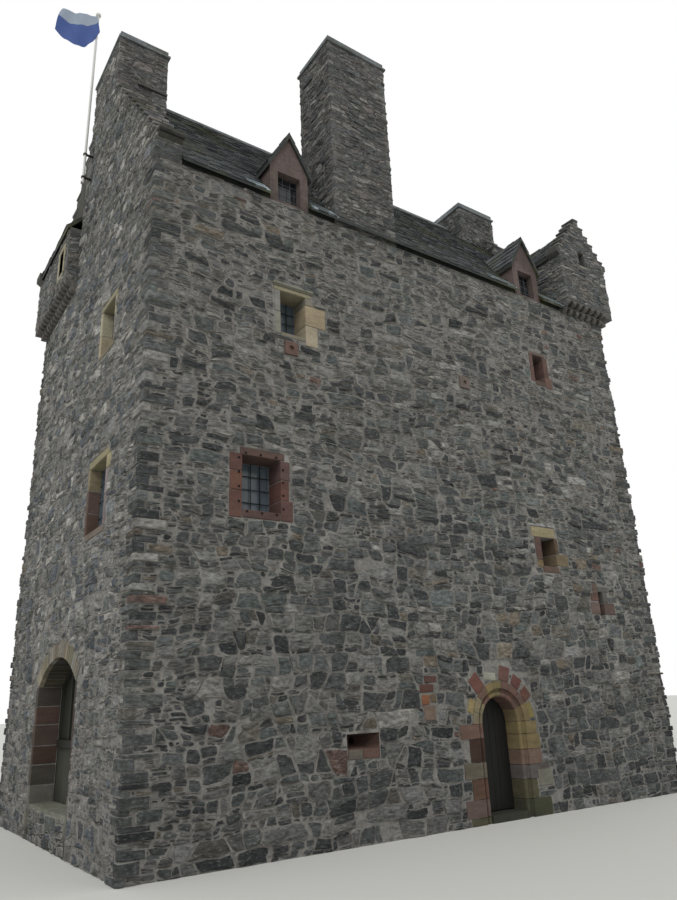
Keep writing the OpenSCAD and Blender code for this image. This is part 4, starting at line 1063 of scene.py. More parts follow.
FINISH_OF_NODE = {
    "mortar": [
        "front_wall_left", "front_wall_right", "front_wall_over_door", "near_gable_wall",
        "near_gable_wall_sides", "far_gable_wall", "back_wall", "gable_door_arch",
    ],
    "sooty mortar": ["near_stack", "middle_stack", "far_stack", "front_turret", "back_turret"],
    "step": ["near_crow_steps", "far_crow_steps"],
    "corbel": ["turret_corbels"],
    "cope": ["stack_copes", "roof_ridge"],
    "slate": ["roof_front_slope", "roof_back_slope", "dormer_roofs", "turret_roofs"],
    "lead": ["lead_flashings"],
    "gablet": ["left_dormer", "right_dormer"],
    "loop stone": ["gun_loop"],
    "boss stone": ["wall_bosses"],
    "glass": ["front_windows", "near_gable_windows", "rear_windows"],
    "attic glass": ["attic_windows"],
    "sandstone": [
        "front_window_surrounds", "near_gable_window_surrounds", "rear_window_surrounds",
        "side_door_arch",
    ],
    "flagstone": ["ground_floor", "thresholds"],
    "floor boards": ["upper_floors"],
    "dark boards": ["side_door", "side_door_frame"],
    "painted boards": ["gable_door_frame", "gable_door_left", "gable_door_right"],
    "paint": ["flagpole"],
    "iron": ["pole_brackets"],
    "flag": ["flag"],
}
# The one colour of a node whose finish reads a colour for each stone
COLOUR_OF_NODE = {"slate": "#2c302e", "sandstone": "#8a7264", "iron": "#282826"}


# Wall layouts
def window_boxes(w, stones):
    """The opening of a window and its dressed stones, as boxes on the wall."""
    left, sill = w[0] - w[2] / 2, w[1]
    boxes = [(left, left + w[2], sill, sill + w[3])]
    return boxes + [(left + a, left + b, sill + c, sill + d) for a, b, c, d, _ in stones]


def front_boxes(door):
    """What the rubble of a long wall leaves clear: windows, turret and, on the side of the
    door, the door's stones, the gun loop and the odd stones."""
    pairs = zip(FRONT_WINDOWS, FRONT_STONES)
    boxes = [b for w, stones in pairs for b in window_boxes(w, stones)]
    boxes.append((TURRET[0] - 0.08, 6.4, CORBEL_FOOT, 12.0))
    if not door:
        return boxes
    boxes += [(SIDE_U - SIDE_HALF, SIDE_U + SIDE_HALF, -1, SIDE_SPRING + 0.02), LOOP_MOUTH]
    for side, jamb in SIDE_JAMBS.items():
        for top, foot, _, more in jamb:
            ends = (SIDE_U + side * (SIDE_HALF - 0.005), SIDE_U + side * (SIDE_EDGE + more))
            boxes.append((min(ends), max(ends), foot, top))
    boxes += [stone[:4] for stone in ODD_STONES]
    for angle, more, half, _ in SIDE_RAYS:
        ahead, up = math.cos(math.radians(angle)), math.sin(math.radians(angle))
        reach = half - 0.02
        for far in np.arange(SIDE_CLEAR, SIDE_EDGE + more, 0.06):
            u, z = SIDE_U + far * ahead, SIDE_SPRING + far * up
            boxes.append((u - reach, u + reach, z - reach, z + reach))
    return boxes + HOLED_STONES


def gable_boxes(stack_half, door):
    """What the rubble of a gable leaves clear: windows, door, the air over each step and the
    turret on one side."""
    pairs = zip(GABLE_WINDOWS, GABLE_STONES)
    boxes = [b for w, stones in pairs for b in window_boxes(w, stones)]
    if door:
        boxes += GATE_BOXES
        for z in np.arange(2.5, 3.2, 0.06):
            wide = math.sqrt(GATE_CLEAR**2 - (z + 0.03 - GATE_Z) ** 2)
            boxes.append((GATE_U - wide, GATE_U + wide, z, z + 0.06))
    for i in range(STEP_COUNT + 1):
        u = max(stack_half, HALF_W - (i + 1) * STEP_RUN)
        z = STEP_Z0 + i * STEP_RISE
        boxes += [(u, 9, z, 30), (-9, -u, z, 30)]
    return boxes + [(-9, TURRET[3] + 0.05, CORBEL_FOOT, 30)]


def turned_frame(place):
    """The same wall turned half round the keep's upright axis."""

    def back(u, z, o):
        return place(u, z, o) * [-1, -1, 1]

    back.flip = place.flip
    return back


FRONT = wall_frame((0, -HALF_W, 0), (1, 0, 0), (0, -1, 0))
NEAR = wall_frame((-HALF_L, 0, 0), (0, -1, 0), (-1, 0, 0))
BACK, FAR = turned_frame(FRONT), turned_frame(NEAR)


def foot_darkening(z, low, high, foot):
    """How the rubble darkens towards the foot of the wall: from foot at low to 1 at high."""
    return foot + (1 - foot) * np.clip((z - low) / (high - low), 0, 1)


def thin_corner(heap, rng, x, y, sx, sy, z0, z1, palette):
    """The thin stones that bind a corner of a stack or turret."""
    sizes = ((0.04, 0.12), (0.10, 0.36), 0.012, 0.005)
    return corner_stones(heap, rng, x, y, sx, sy, z0, z1, *sizes, palette, None)


def flat_face(
    heap, place, rng, half_left, half_right, z0, z1, left, right, col, boxes=(), palette=FLAGSTONE
):
    """Thin flat stones over one face of a stack or turret, between its corner stones."""
    stones = split_stones(
        rng, -half_left - 0.2, half_right + 0.2, z0 - 0.15, z1 + 0.1, (0.12, 0.26),
        lambda u, z: (0.019, 4.2),
    )
    rubble(
        heap, place, stones, rng, (-half_left, half_right, z0, z1), joint=0.005, proud=0.014,
        boxes=[*boxes, *clear_of_rows(left, right, half_left, half_right, col)],
        palette=palette, spread=0.09, smear=lambda z: -0.5,
    )


# Operators
class KEEP_OT_finishes(bpy.types.Operator):
    """Give each node of the keep its finish"""

    bl_idname = "keep.finishes"
    bl_label = "Finishes"

    def execute(self, context):
        for key, nodes in FINISH_OF_NODE.items():
            for name in nodes:
                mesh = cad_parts[name].data
                mesh.materials.clear()
                mesh.materials.append(finish(key))
                if key in COLOUR_OF_NODE:
                    layer = mesh.attributes.get("tone")
                    layer = layer or mesh.attributes.new("tone", "FLOAT_COLOR", "POINT")
                    tone = (*rgb(COLOUR_OF_NODE[key]), 0.0)
                    layer.data.foreach_set("color", np.tile(tone, len(mesh.vertices)))
        return {"FINISHED"}


class KEEP_OT_walls(bpy.types.Operator):
    """Build the rubble of the four walls and the stones that bind their corners"""

    bl_idname = "keep.walls"
    bl_label = "Walls"

    def execute(self, context):
        s = context.scene.keep_stonework
        mat = finish("rubble")
        corner = Heap()
        rng = np.random.default_rng(11)
        rows = {}
        corners = {"nf": (-1, -1, 11.45), "ff": (1, -1, CORBEL_FOOT)}
        corners |= {"nb": (-1, 1, CORBEL_FOOT), "fb": (1, 1, 11.45)}
        for key, (sx, sy, top) in corners.items():
            rows[key] = corner_stones(
                corner, rng, sx * HALF_L, sy * HALF_W, sx, sy, 0.0, top,
                (0.05, 0.17), (0.14, 0.5), 1.3 * s.proud, 0.008, WHINSTONE, WHINSTONE_SHARE,
                shade=lambda z: foot_darkening(z, 0, 5, 0.69) * 1.15,
            )
        corner.piece("corner_stones", mat, slot="whinstone_rubble")
        walls = {
            "front_rubble": (FRONT, True, "nf", "ff", 2, 5),
            "back_rubble": (BACK, False, "fb", "nb", 2, 6),
            "near_gable_rubble": (NEAR, True, "nb", "nf", 3, 7),
            "far_gable_rubble": (FAR, False, "ff", "fb", 3, 8),
        }
        long_look = dict(
            palette=WHINSTONE, share=WHINSTONE_SHARE, spread=0.15,
            # painted light: the long walls lighter towards their +u end, where more light falls,
            # and darker towards the foot
            shade=lambda u, z: foot_darkening(z, 1.0, 5.5, 0.71) * (1.29 + 0.033 * u),
            smear=lambda z: 0.3 * np.clip((z - 4.5) / 4, 0, 1),
        )
        gable_look = dict(
            palette=GABLE_STONE, spread=0.18,
            shade=lambda u, z: foot_darkening(z, 0.0, 4.0, 0.62) * 1.22,
            smear=lambda z: 0.15,
        )
        for name, (place, door, left, right, col, seed) in walls.items():
            long = place in (FRONT, BACK)
            half = HALF_L if long else HALF_W
            stack = NEAR_STACK if door else FAR_STACK
            boxes = front_boxes(door) if long else gable_boxes(stack[3], door)
            boxes += clear_of_rows(rows[left], rows[right], half, half, col)
            discs = [(SIDE_U, SIDE_SPRING, SIDE_CLEAR)] if long and door else []
            top = WALL_H - 0.01 if long else stack[4]
            rng = np.random.default_rng(seed)

            def grain(u, z):
                if half - abs(u) < 0.85 and z < 11.4:
                    return 0.024, 3.2
                if not long and z > 11.4:
                    return 0.030, 2.6
                if not long:
                    return 0.042, s.aspect
                high = min(1.0, max(0.0, (z - 3.5) / 3))
                return 0.056 - 0.018 * high, s.aspect + 1.3 * high

            stones = split_stones(
                rng, -half - 0.2, half + 0.2, -0.15, top + 0.1, (0.17, 0.42), grain
            )
            heap = Heap()
            rubble(
                heap, place, stones, rng, (-half, half, 0.0, top), joint=s.joint, proud=s.proud,
                boxes=boxes, discs=discs, **(long_look if long else gable_look),
            )
            heap.piece(name, mat, slot="whinstone_rubble")
        return {"FINISHED"}


class KEEP_OT_stacks(bpy.types.Operator):
    """Build the flat rubble of the three chimney stacks"""

    bl_idname = "keep.stacks"
    bl_label = "Stacks"

    def execute(self, context):
        heap = Heap()
        rng = np.random.default_rng(21)
        for x0, x1, y0, y1, top in (NEAR_STACK, MID_STACK, FAR_STACK):
            xc, yc = (x0 + x1) / 2, (y0 + y1) / 2
            hx, hy = (x1 - x0) / 2, (y1 - y0) / 2
            mid = y1 < 0
            rows = {}
            for sx in (-1, 1):
                for sy in (-1, 1):
                    y = yc + sy * hy
                    base = CORE_TOP if mid and sy < 0 else roof_top(abs(y)) + 0.02
                    rows[sx, sy] = thin_corner(
                        heap, rng, xc + sx * hx, y, sx, sy, base, top - 0.004, FLAGSTONE
                    )
            foot = CORE_TOP if mid else roof_top(abs(y0))
            place = wall_frame((xc, y0, 0), (1, 0, 0), (0, -1, 0))
            flat_face(heap, place, rng, hx, hx, foot, top, rows[-1, -1], rows[1, -1], 2)
            place = wall_frame((xc, y1, 0), (-1, 0, 0), (0, 1, 0))
            ridge_side = roof_top(abs(y1))
            flat_face(heap, place, rng, hx, hx, ridge_side, top, rows[1, 1], rows[-1, 1], 2)
            for sx in (-1, 1):
                if abs(xc + sx * hx) == HALF_L:
                    continue
                place = wall_frame((xc + sx * hx, yc, 0), (0, 1, 0), (sx, 0, 0))
                flat_face(heap, place, rng, hy, hy, foot, top, rows[sx, -1], rows[sx, 1], 3)
        heap.piece("stack_rubble", finish("rubble"), slot="whinstone_rubble")
        return {"FINISHED"}


class KEEP_OT_turrets(bpy.types.Operator):
    """Build the flat rubble of the two corner turrets"""

    bl_idname = "keep.turrets"
    bl_label = "Turrets"

    def execute(self, context):
        heap, margins = Heap(), Heap()
        rng = np.random.default_rng(31)
        x0, x1, y0, y1 = TURRET
        low, high, sill, head = TURRET_LIGHT
        light = (low - y0, high - y0, sill, head)
        to_roof = 1.275  # where the main roof covers the turret's inner wall
        eave = TURRET_WALL_TOP
        steps = []
        for i in range(TURRET_STEPS):
            u = TURRET_HALF - (i + 1) * TURRET_STEP_RUN if i < TURRET_STEPS - 1 else 0.095
            z = TURRET_STEP_Z0 + i * TURRET_STEP_RISE
            steps += [(u, 9, z, 30), (-9, -u, z, 30)]
        look = dict(palette=TURRET_STONE)
        for t in (1, -1):
            left, right = (
                thin_corner(heap, rng, t * x, t * y0, t * s, -t, CORBEL_TOP, eave, TURRET_STONE)
                for x, s in ((x0, -1), (x1, 1))
            )
            place = wall_frame((t * TURRET_X, t * y0, 0), (t, 0, 0), (0, -t, 0))
            flat_face(
                heap, place, rng, TURRET_HALF, TURRET_HALF, CORBEL_TOP, 14.0, left, right, 2,
                boxes=[*steps, GABLET_LIGHT], **look,
            )
            place = wall_frame((t * x1, t * y0, 0), (0, t, 0), (t, 0, 0))
            flat_face(
                heap, place, rng, 0, y1 - y0, CORBEL_TOP, eave, right, (), 3,
                boxes=[light], **look,
            )
            place = wall_frame((t * x0, t * y0, 0), (0, t, 0), (-t, 0, 0))
            flat_face(heap, place, rng, 0, to_roof, CORE_TOP, eave - 0.03, left, (), 3, **look)
            place = wall_frame((t * HALF_L, t * y1, 0), (t, 0, 0), (0, t, 0))
            flat_face(heap, place, rng, 0, x1 - HALF_L, CORBEL_TOP, eave, (), (), 2, **look)
        heap.piece("turret_rubble", finish("rubble"), slot="whinstone_rubble")
        tones = [rgb(c) for c in ("#a39d88", "#989078", "#a19a84", "#8d8877")]
        for t in (1, -1):
            place = wall_frame((t * x1, 0, 0), (0, t, 0), (t, 0, 0))
            wall_blocks(margins, place, LIGHT_MARGINS, [(-0.12, 0.02)], 0.008, tones)
            place = wall_frame((t * TURRET_X, t * y0, 0), (t, 0, 0), (0, -t, 0))
            under = [(-0.14, 0.14, 12.49, 12.545)]
            wall_blocks(margins, place, under, [(-0.1, 0.02)], 0.008, rgb("#8a887f"))
        margins.piece("turret_window_margins", finish("sandstone"), slot="buff_sandstone")
        return {"FINISHED"}


class KEEP_OT_steps(bpy.types.Operator):
    """Lay the flat stones of the crow steps: a slab on each tread, thin courses on each riser"""

    bl_idname = "keep.steps"
    bl_label = "Crow steps"

    def execute(self, context):
        heap = Heap()
        rng = np.random.default_rng(41)

        def lay(tread, boxes, outs, bevel, spread, jitter):
            tones = pick_tones(rng, len(boxes), FLAGSTONE, None, spread)
            wall_blocks(heap, tread, boxes, [outs], bevel, tones, rng, jitter)

        for sx in (-1, 1):
            stack = NEAR_STACK[3] if sx < 0 else FAR_STACK[3]
            across = sx * (HALF_L - SKEW / 2)
            for sy in (-1, 1):
                tread = wall_frame((across, 0, 0), (1, 0, 0), (0, sy, 0))
                for i in range(STEP_COUNT + 1):
                    outer = HALF_W - i * STEP_RUN
                    inner = max(outer - STEP_RUN, stack)
                    z = STEP_Z0 + i * STEP_RISE
                    turret = sx * sy < 0 and outer > -TURRET[3] and z < 13.0
                    if outer <= stack + 0.02 or turret:
                        continue
                    slabs = [
                        (-0.25, 0.02, z - 0.05, z + 0.015), (0.025, 0.25, z - 0.05, z + 0.012),
                    ]
                    lay(tread, slabs, (inner - 0.04, outer + 0.03), 0.012, 0.12, 0.008)
                    z0, end, boxes = z - STEP_RISE + 0.016, z - 0.052, []
                    if i == 0:
                        z0, end = WALL_H, z - 0.2
                        # the skewputt at the eave, in near-black: painted shade of the dark
                        # hollow under it
                        putt = [(-0.235, 0.235, z - 0.13, z - 0.05)]
                        outs = [(outer - 0.05, outer + 0.1)]
                        wall_blocks(heap, tread, putt, outs, 0.015, rgb("#2b2b29"), rng, 0.006)
                    while z0 < end - 0.02:
                        z1 = min(z0 + rng.uniform(0.05, 0.12), end)
                        split = rng.uniform(-0.1, 0.1)
                        boxes.append((-0.232, split - 0.004, z0, z1 - 0.006))
                        boxes.append((split + 0.004, 0.232, z0, z1 - 0.006))
                        z0 = z1
                    lay(tread, boxes, (outer - 0.1, outer + 0.008), 0.012, 0.16, 0.006)
        for t in (1, -1):
            tread = wall_frame((t * TURRET_X, t * TURRET[2], 0), (t, 0, 0), (0, -t, 0))
            for i in range(TURRET_STEPS):
                outer = TURRET_HALF - i * TURRET_STEP_RUN
                inner = TURRET_HALF - (i + 1) * TURRET_STEP_RUN if i < TURRET_STEPS - 1 else 0.0
                z = TURRET_STEP_Z0 + i * TURRET_STEP_RISE
                for side in (-1, 1):
                    ends = sorted((side * (outer + 0.02), side * (inner - 0.02)))
                    slab = [(*ends, z - 0.04, z + 0.012)]
                    lay(tread, slab, (-0.36, 0.02), 0.01, 0.14, 0.006)
        heap.piece("step_stones", finish("step stones"), slot="whinstone_rubble")
        return {"FINISHED"}


def slate_slope(heap, rng, foot, along, up, out, length, height, s, hidden):
    """Slates in courses up a slope: each a thin plate with a thick tail, over the one below.
    hidden takes the slates' middles and says which to leave out."""
    foot, along, up, out = (np.array(v, float) for v in (foot, along, up, out))
    rows = int(height / s.gauge)
    gauge = height / rows
    count = int(length / s.width)
    r, c = np.meshgrid(np.arange(rows), np.arange(-1, count + 1), indexing="ij")
    left = (c + 0.5 * (r % 2) + rng.uniform(-0.12, 0.12, c.shape)) * length / count
    right = left + length / count * 0.985
    left, right = left.clip(0, length), right.clip(0, length)
    tail = r * gauge + rng.normal(0, 0.006, r.shape)
    head = tail + gauge * 1.25
    ok = (right - left > 0.05).ravel()
    left, right, tail, head = (v.ravel()[ok] for v in (left, right, tail, head))
    middle = foot + np.outer((left + right) / 2, along) + np.outer((tail + head) / 2, up)
    ok = ~hidden(middle)
    left, right, tail, head = (v[ok] for v in (left, right, tail, head))
    n = len(left)
    if not n:
        return
    thick = s.thick * rng.uniform(0.7, 1.5, n)
    lift = thick * 0.4 + 0.004
    u = np.stack([left, right, right, left] * 2, 1)
    v = np.stack([tail, tail, head, head] * 2, 1) + np.tile(rng.normal(0, 0.004, (n, 4)), (1, 2))
    tail_out, head_out, under = lift + thick, lift * 0.25 + 0.002, lift * 0
    o = [tail_out, tail_out, head_out, head_out, under, under, under - 0.004, under - 0.004]
    o = np.stack(o, 1)
    points = foot + u[..., None] * along + v[..., None] * up + o[..., None] * out
    base = (np.arange(n) * 8)[:, None, None]
    quads = np.array([[0, 1, 2, 3], [4, 5, 1, 0], [5, 6, 2, 1], [7, 4, 0, 3]])[None] + base
    if np.dot(np.cross(along, up), out) < 0:
        quads = quads[:, :, ::-1]
    tone = pick_tones(rng, n, SLATE, None, 0.14)
    tones = np.concatenate([np.repeat(tone, 8, 0), np.zeros((n * 8, 1))], 1)
    heap.add(points.reshape(-1, 3), quads.reshape(-1, 4), (), tones)


def in_box(p, x0, x1, y0, y1):
    """Which points lie between two values of x and two of y."""
    return (p[:, 0] > x0) & (p[:, 0] < x1) & (p[:, 1] > y0) & (p[:, 1] < y1)


def under_main(p):
    """Which points lie under the slates of the main roof."""
    return p[:, 2] < roof_top(np.abs(p[:, 1])) + 0.01


def under_others(p, t):
    """Which points of the main roof's front slope (t 1) or back slope (t -1) lie under a
    stack, a dormer or a turret's roof."""
    gone = in_box(p, NEAR_STACK[0], NEAR_STACK[1] + 0.03, -0.92, 0.92)
    gone |= in_box(p, FAR_STACK[0] - 0.03, FAR_STACK[1], -0.75, 0.75)
    aside = np.abs(t * p[:, 0] - TURRET_X)
    roof = TURRET_EAVE + (TURRET_HALF - aside) * TURRET_SLOPE + 0.12
    gone |= (aside < TURRET_HALF + OVERHANG) & (p[:, 2] < roof) & (t * p[:, 1] < TURRET[3])
    if t > 0:
        x0, x1, _, y1 = MID_STACK[:4]
        gone |= in_box(p, x0 - 0.03, x1 + 0.03, -9, y1 + 0.03)
        for x in DORMERS:
            aside = np.abs(p[:, 0] - x)
            roof = DORMER_EAVE + (DORMER_HALF - aside) * DORMER_SLOPE + 0.11
            gone |= (aside < DORMER_HALF + OVERHANG) & (p[:, 2] < roof)
    return gone


class KEEP_OT_slates(bpy.types.Operator):
    """Slate the main roof, the dormers and the turrets"""

    bl_idname = "keep.slates"
    bl_label = "Slates"

    def execute(self, context):
        s = context.scene.keep_roofing
        heap = Heap()
        rng = np.random.default_rng(51)
        x0, x1 = -HALF_L + SKEW, HALF_L - SKEW
        foot_d = HALF_W + EAVES
        height = (foot_d - 0.05) / math.cos(PITCH)
        c, n = math.cos(PITCH), math.sin(PITCH)
        for t in (1, -1):
            slate_slope(
                heap, rng, (x0, -t * foot_d, roof_top(foot_d)), (1, 0, 0), (0, t * c, n),
                (0, -t * n, c), x1 - x0, height, s, lambda p: under_others(p, t),
            )

        def small_roof(t, x, y, eave, slope, half, bed, length, hidden):
            """Two slopes whose ridge runs inwards along y, bed over the roof's underside."""
            a = math.atan(slope)
            for side in (-1, 1):
                foot = (t * (x + side * half), t * y, eave - OVERHANG * slope + bed)
                slate_slope(
                    heap, rng, foot, (0, t, 0), (-t * side * math.cos(a), 0, math.sin(a)),
                    (t * side * math.sin(a), 0, math.cos(a)), length,
                    half / math.cos(a) - 0.03, s, hidden,
                )

        for x in DORMERS:
            small_roof(
                1, x, -HALF_W - OVERHANG, DORMER_EAVE, DORMER_SLOPE, DORMER_HALF + OVERHANG,
                bed=0.1134, length=1.45, hidden=under_main,
            )
        for t in (1, -1):
            small_roof(
                t, TURRET_X, TURRET[2] + 0.35, TURRET_EAVE, TURRET_SLOPE, TURRET_HALF + OVERHANG,
                bed=0.1196, length=2.5,
                hidden=lambda p: under_main(p) & (np.abs(p[:, 0]) < HALF_L - SKEW),
            )
        heap.piece("slates", finish("slate"), slot="slate")
        return {"FINISHED"}


def window_dressing(heap, rng, place, w, stones, deep):
    """The dressed stones round a window from their table, as deep as the recess that holds
    them, on mortar that fills it."""
    u, sill, wide, high, left, right, over, under = w
    a, b, top, back = u - wide / 2, u + wide / 2, sill + high, 0.012
    fill = [
        (a - left, a - back, sill - under, top + over),
        (b + back, b + right, sill - under, top + over),
        (a - back, b + back, top + back, top + over),
        (a - back, b + back, sill - under, sill - back),
    ]
    mortar = tuple(bpy.context.scene.keep_colours.mortar)
    wall_blocks(heap, place, fill, [(-deep, -0.003)], 0.001, mortar)
    joint = [0.004, -0.004, 0.004, -0.004]
    boxes = [(a + s[0], a + s[1], sill + s[2], sill + s[3]) for s in stones]
    tones = np.array([rgb(s[4]) for s in stones]) * rng.uniform(0.94, 1.06, (len(stones), 1))
    wall_blocks(heap, place, np.array(boxes) + joint, [(-deep, 0.012)], 0.009, tones, rng, 0.004)


def window_bars(heap, place, w, across, up, deep, size=0.014, code=IRON):
    """Upright and level bars of lead and iron in front of a window's glass."""
    u, sill, wide, high = w[:4]
    left, right, half = u - wide / 2, u + wide / 2, size / 2
    at = [left + wide * k / across for k in range(1, across)]
    boxes = [(x - half, x + half, sill, sill + high) for x in at]
    at = [sill + high * k / up for k in range(1, up)]
    boxes += [(left, right, z - half, z + half) for z in at]
    wall_blocks(heap, place, boxes, [(-deep, size - deep)], 0.003, rgb(code))


class KEEP_OT_windows(bpy.types.Operator):
    """Build the dressed stones and iron bars of the windows"""

    bl_idname = "keep.windows"
    bl_label = "Windows"

    def execute(self, context):
        rng = np.random.default_rng(61)
        bars, front, near, rear = Heap(), Heap(), Heap(), Heap()
        for w, stones, grid in zip(FRONT_WINDOWS, FRONT_STONES, FRONT_PANES):
            for heap, place in ((front, FRONT), (rear, BACK)):
                window_dressing(heap, rng, place, w, stones, FRONT_DEEP)
                window_bars(bars, place, w, *grid, FRONT_DEEP - 0.001)
        for w, stones in zip(GABLE_WINDOWS, GABLE_STONES):
            for heap, place in ((near, NEAR), (rear, FAR)):
                window_dressing(heap, rng, place, w, stones, GABLE_DEEP)
                window_bars(bars, place, w, 3, 4, GABLE_DEEP - 0.001)
        # a moulded hood of two bands over the upper front window
        u, sill, wide = FRONT_WINDOWS[1][:3]
        left = u - wide / 2
        hood = [(left - 0.15, left + 0.67, sill + 0.92, sill + 0.95)]
        wall_blocks(front, FRONT, hood, [(-0.02, 0.03)], 0.006, rgb("#6b6a5e"))
        hood = [(left - 0.16, left + 0.68, sill + 0.95, sill + 1.0)]
        wall_blocks(front, FRONT, hood, [(-0.02, 0.05)], 0.01, rgb("#7d7c70"))
        u, sill, wide = FRONT_WINDOWS[0][:3]
        left, half = u - wide / 2, 0.018
        holes = [(left + x, sill + z) for x, z in BAR_HOLES]
        holes = [(x - half, x + half, z - half, z + half) for x, z in holes]
        # near-black blocks: painted shade in the bar holes
        wall_blocks(bars, FRONT, holes, [(-0.01, 0.0255)], 0.007, rgb("#1c1b1a"))
        pieces = (
            (front, "front_window_stones", "front_window_surrounds"),
            (near, "near_gable_window_stones", "near_gable_window_surrounds"),
            (rear, "rear_window_stones", "rear_window_surrounds"),
        )
        for heap, name, node in pieces:
            piece = heap.piece(name, finish("sandstone"), slot="red_sandstone")
            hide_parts(node)
        for x in DORMERS:
            light = (x, WALL_H + 0.05, 0.50, 0.67)
            window_bars(bars, FRONT, light, 3, 4, 0.128, 0.009, "#5f6263")
        bars.piece("window_bars", finish("iron"), slot="black_iron")
        return {"FINISHED"}


def swept_stones(heap, section, path, tones, place):
    """Stones whose section (outward, inward) is carried along a path. path gives, for each
    stone, a list of functions from outward distance to place along the wall and height."""
    section = np.array(section, float)
    m = len(section)
    centre = section.mean(0)
    for frames, tone in zip(path, tones):
        rings = []
        for k, at in enumerate(frames):
            end = k in (0, len(frames) - 1)
            s = centre + (section - centre) * 0.985 if end else section
            u, z = at(s[:, 0])
            rings.append(place(u, z, -s[:, 1]))
        pts = np.concatenate(rings)
        r, k = np.meshgrid(np.arange(len(frames) - 1), np.arange(m), indexing="ij")
        a, b = r * m + k, r * m + (k + 1) % m
        quads = np.stack([a, b, b + m, a + m], 2).reshape(-1, 4)
        fan = np.stack([np.zeros(m - 2), np.arange(1, m - 1), np.arange(2, m)], 1).astype(int)
        tris = np.concatenate([fan[:, ::-1], fan + (len(frames) - 1) * m])
        face = pts[quads[m // 2]]
        normal = np.cross(face[1] - face[0], face[2] - face[0])
        if np.dot(normal, face.mean(0) - pts.mean(0)) < 0:
            quads, tris = quads[:, ::-1], tris[:, ::-1]
        heap.add(pts, quads, tris, (*tone, 0.0))


def arc_frames(cu, cz, radius, a0, a1, count):
    """Frames round a centre, from one angle to another."""

    def frame_at(a):
        return lambda s: (cu + (radius + s) * math.cos(a), cz + (radius + s) * math.sin(a))

    return [frame_at(a) for a in np.linspace(a0, a1, count)]


def jamb_frames(side, foot, top):
    """Frames up a jamb of the side door, from one height to another."""

    def frame_at(z):
        return lambda s: (SIDE_U + side * (SIDE_HALF + s), np.full(len(s), z))

    return [frame_at(z) for z in np.linspace(foot, top, 3)]


class KEEP_OT_side_door(bpy.types.Operator):
    """Build the moulded stones of the side door, the boards of its leaf and the gun loop's
    stones"""

    bl_idname = "keep.side_door"
    bl_label = "Side door"

    def execute(self, context):
        heap = Heap()
        rng = np.random.default_rng(71)

        def section(extra):
            """A roll on the opening's edge, of radius r, then a hollow of radius h and a flat
            band, on a stone as deep as the door."""
            r, h = 0.042, 0.060
            out = SIDE_EDGE - SIDE_HALF + extra
            pts = [(0, SIDE_DEEP), (out, SIDE_DEEP), (out, -0.012), (2 * r + h, -0.012)]
            for a in np.radians([15, 30, 45, 60, 75]):
                pts.append((2 * r + h * math.cos(a), h * math.sin(a)))
            for a in np.radians(range(0, 181, 20)):
                pts.append((r + r * math.cos(a), h - r * math.sin(a)))
            return pts

        for k, code in enumerate(SIDE_ARCH):
            a0, a1 = np.radians(SIDE_CUTS)[k : k + 2] + [-0.006, 0.006]
            arc = arc_frames(SIDE_U, SIDE_SPRING, SIDE_HALF, a0, a1, 4)
            swept_stones(heap, section(0.0), [arc], [rgb(code)], FRONT)
        for angle, more, half, code in SIDE_RAYS:
            ahead, up = math.cos(math.radians(angle)), math.sin(math.radians(angle))
            far = np.array([SIDE_EDGE + 0.007, SIDE_EDGE + more])[CORNERS[:, 0]]
            breadth = (CORNERS[:, 2] * 2 - 1) * half
            u = SIDE_U + far * ahead - breadth * up + rng.uniform(-0.012, 0.012, 8)
            z = SIDE_SPRING + far * up + breadth * ahead + rng.uniform(-0.012, 0.012, 8)
            outs = np.array([-0.05, 0.016])[CORNERS[:, 1]]
            blocks(heap, [FRONT(u, z, outs)], 0.01, rgb(code))
        for side, stones in SIDE_JAMBS.items():
            for top, foot, code, more in stones:
                path = [jamb_frames(side, foot + 0.004, top - 0.004)]
                swept_stones(heap, section(more), path, [rgb(code)], FRONT)
        odd = np.array([stone[:4] for stone in ODD_STONES]) + [0.006, -0.006, 0.006, -0.006]
        tones = [rgb(stone[4]) for stone in ODD_STONES]
        wall_blocks(heap, FRONT, odd, [(-0.05, 0.016)], 0.012, tones, rng, 0.015)
        piece = heap.piece("side_door_stones", finish("mossy sandstone"), slot="red_sandstone")
        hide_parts("side_door_arch")
        leaf = Heap()
        edges = np.linspace(SIDE_U - SIDE_HALF, SIDE_U + SIDE_HALF, 7)
        middle = (edges[:-1] + edges[1:]) / 2 - SIDE_U
        heads = SIDE_SPRING - 0.01 + np.sqrt((SIDE_HALF + 0.005) ** 2 - middle**2)
        boxes = [(edges[k] + 0.003, edges[k + 1] - 0.003, 0.14, heads[k]) for k in range(6)]
        wall_blocks(leaf, FRONT, boxes, [(-0.37, -0.35)], 0.004, rgb("#2a2623"))
        leaf.piece(
            "side_door_boards", finish("dark boards"), body="side_door_leaf", slot="dark_boards"
        )
        loop = Heap()
        mortar = tuple(context.scene.keep_colours.mortar)
        wall_blocks(loop, FRONT, LOOP_BEDS, [(-0.02, 0.004)], 0.001, mortar)
        below = [(-2.50, -2.215, 1.2, 1.345), (-2.205, -1.9, 1.2, 1.345)]
        tones = [rgb("#5b574f"), rgb("#5c4841")]
        wall_blocks(loop, FRONT, below, [(-0.05, 0.014)], 0.012, tones, rng, 0.006)
        loop.piece("gun_loop_stones", finish("sandstone"), slot="red_sandstone")
        return {"FINISHED"}


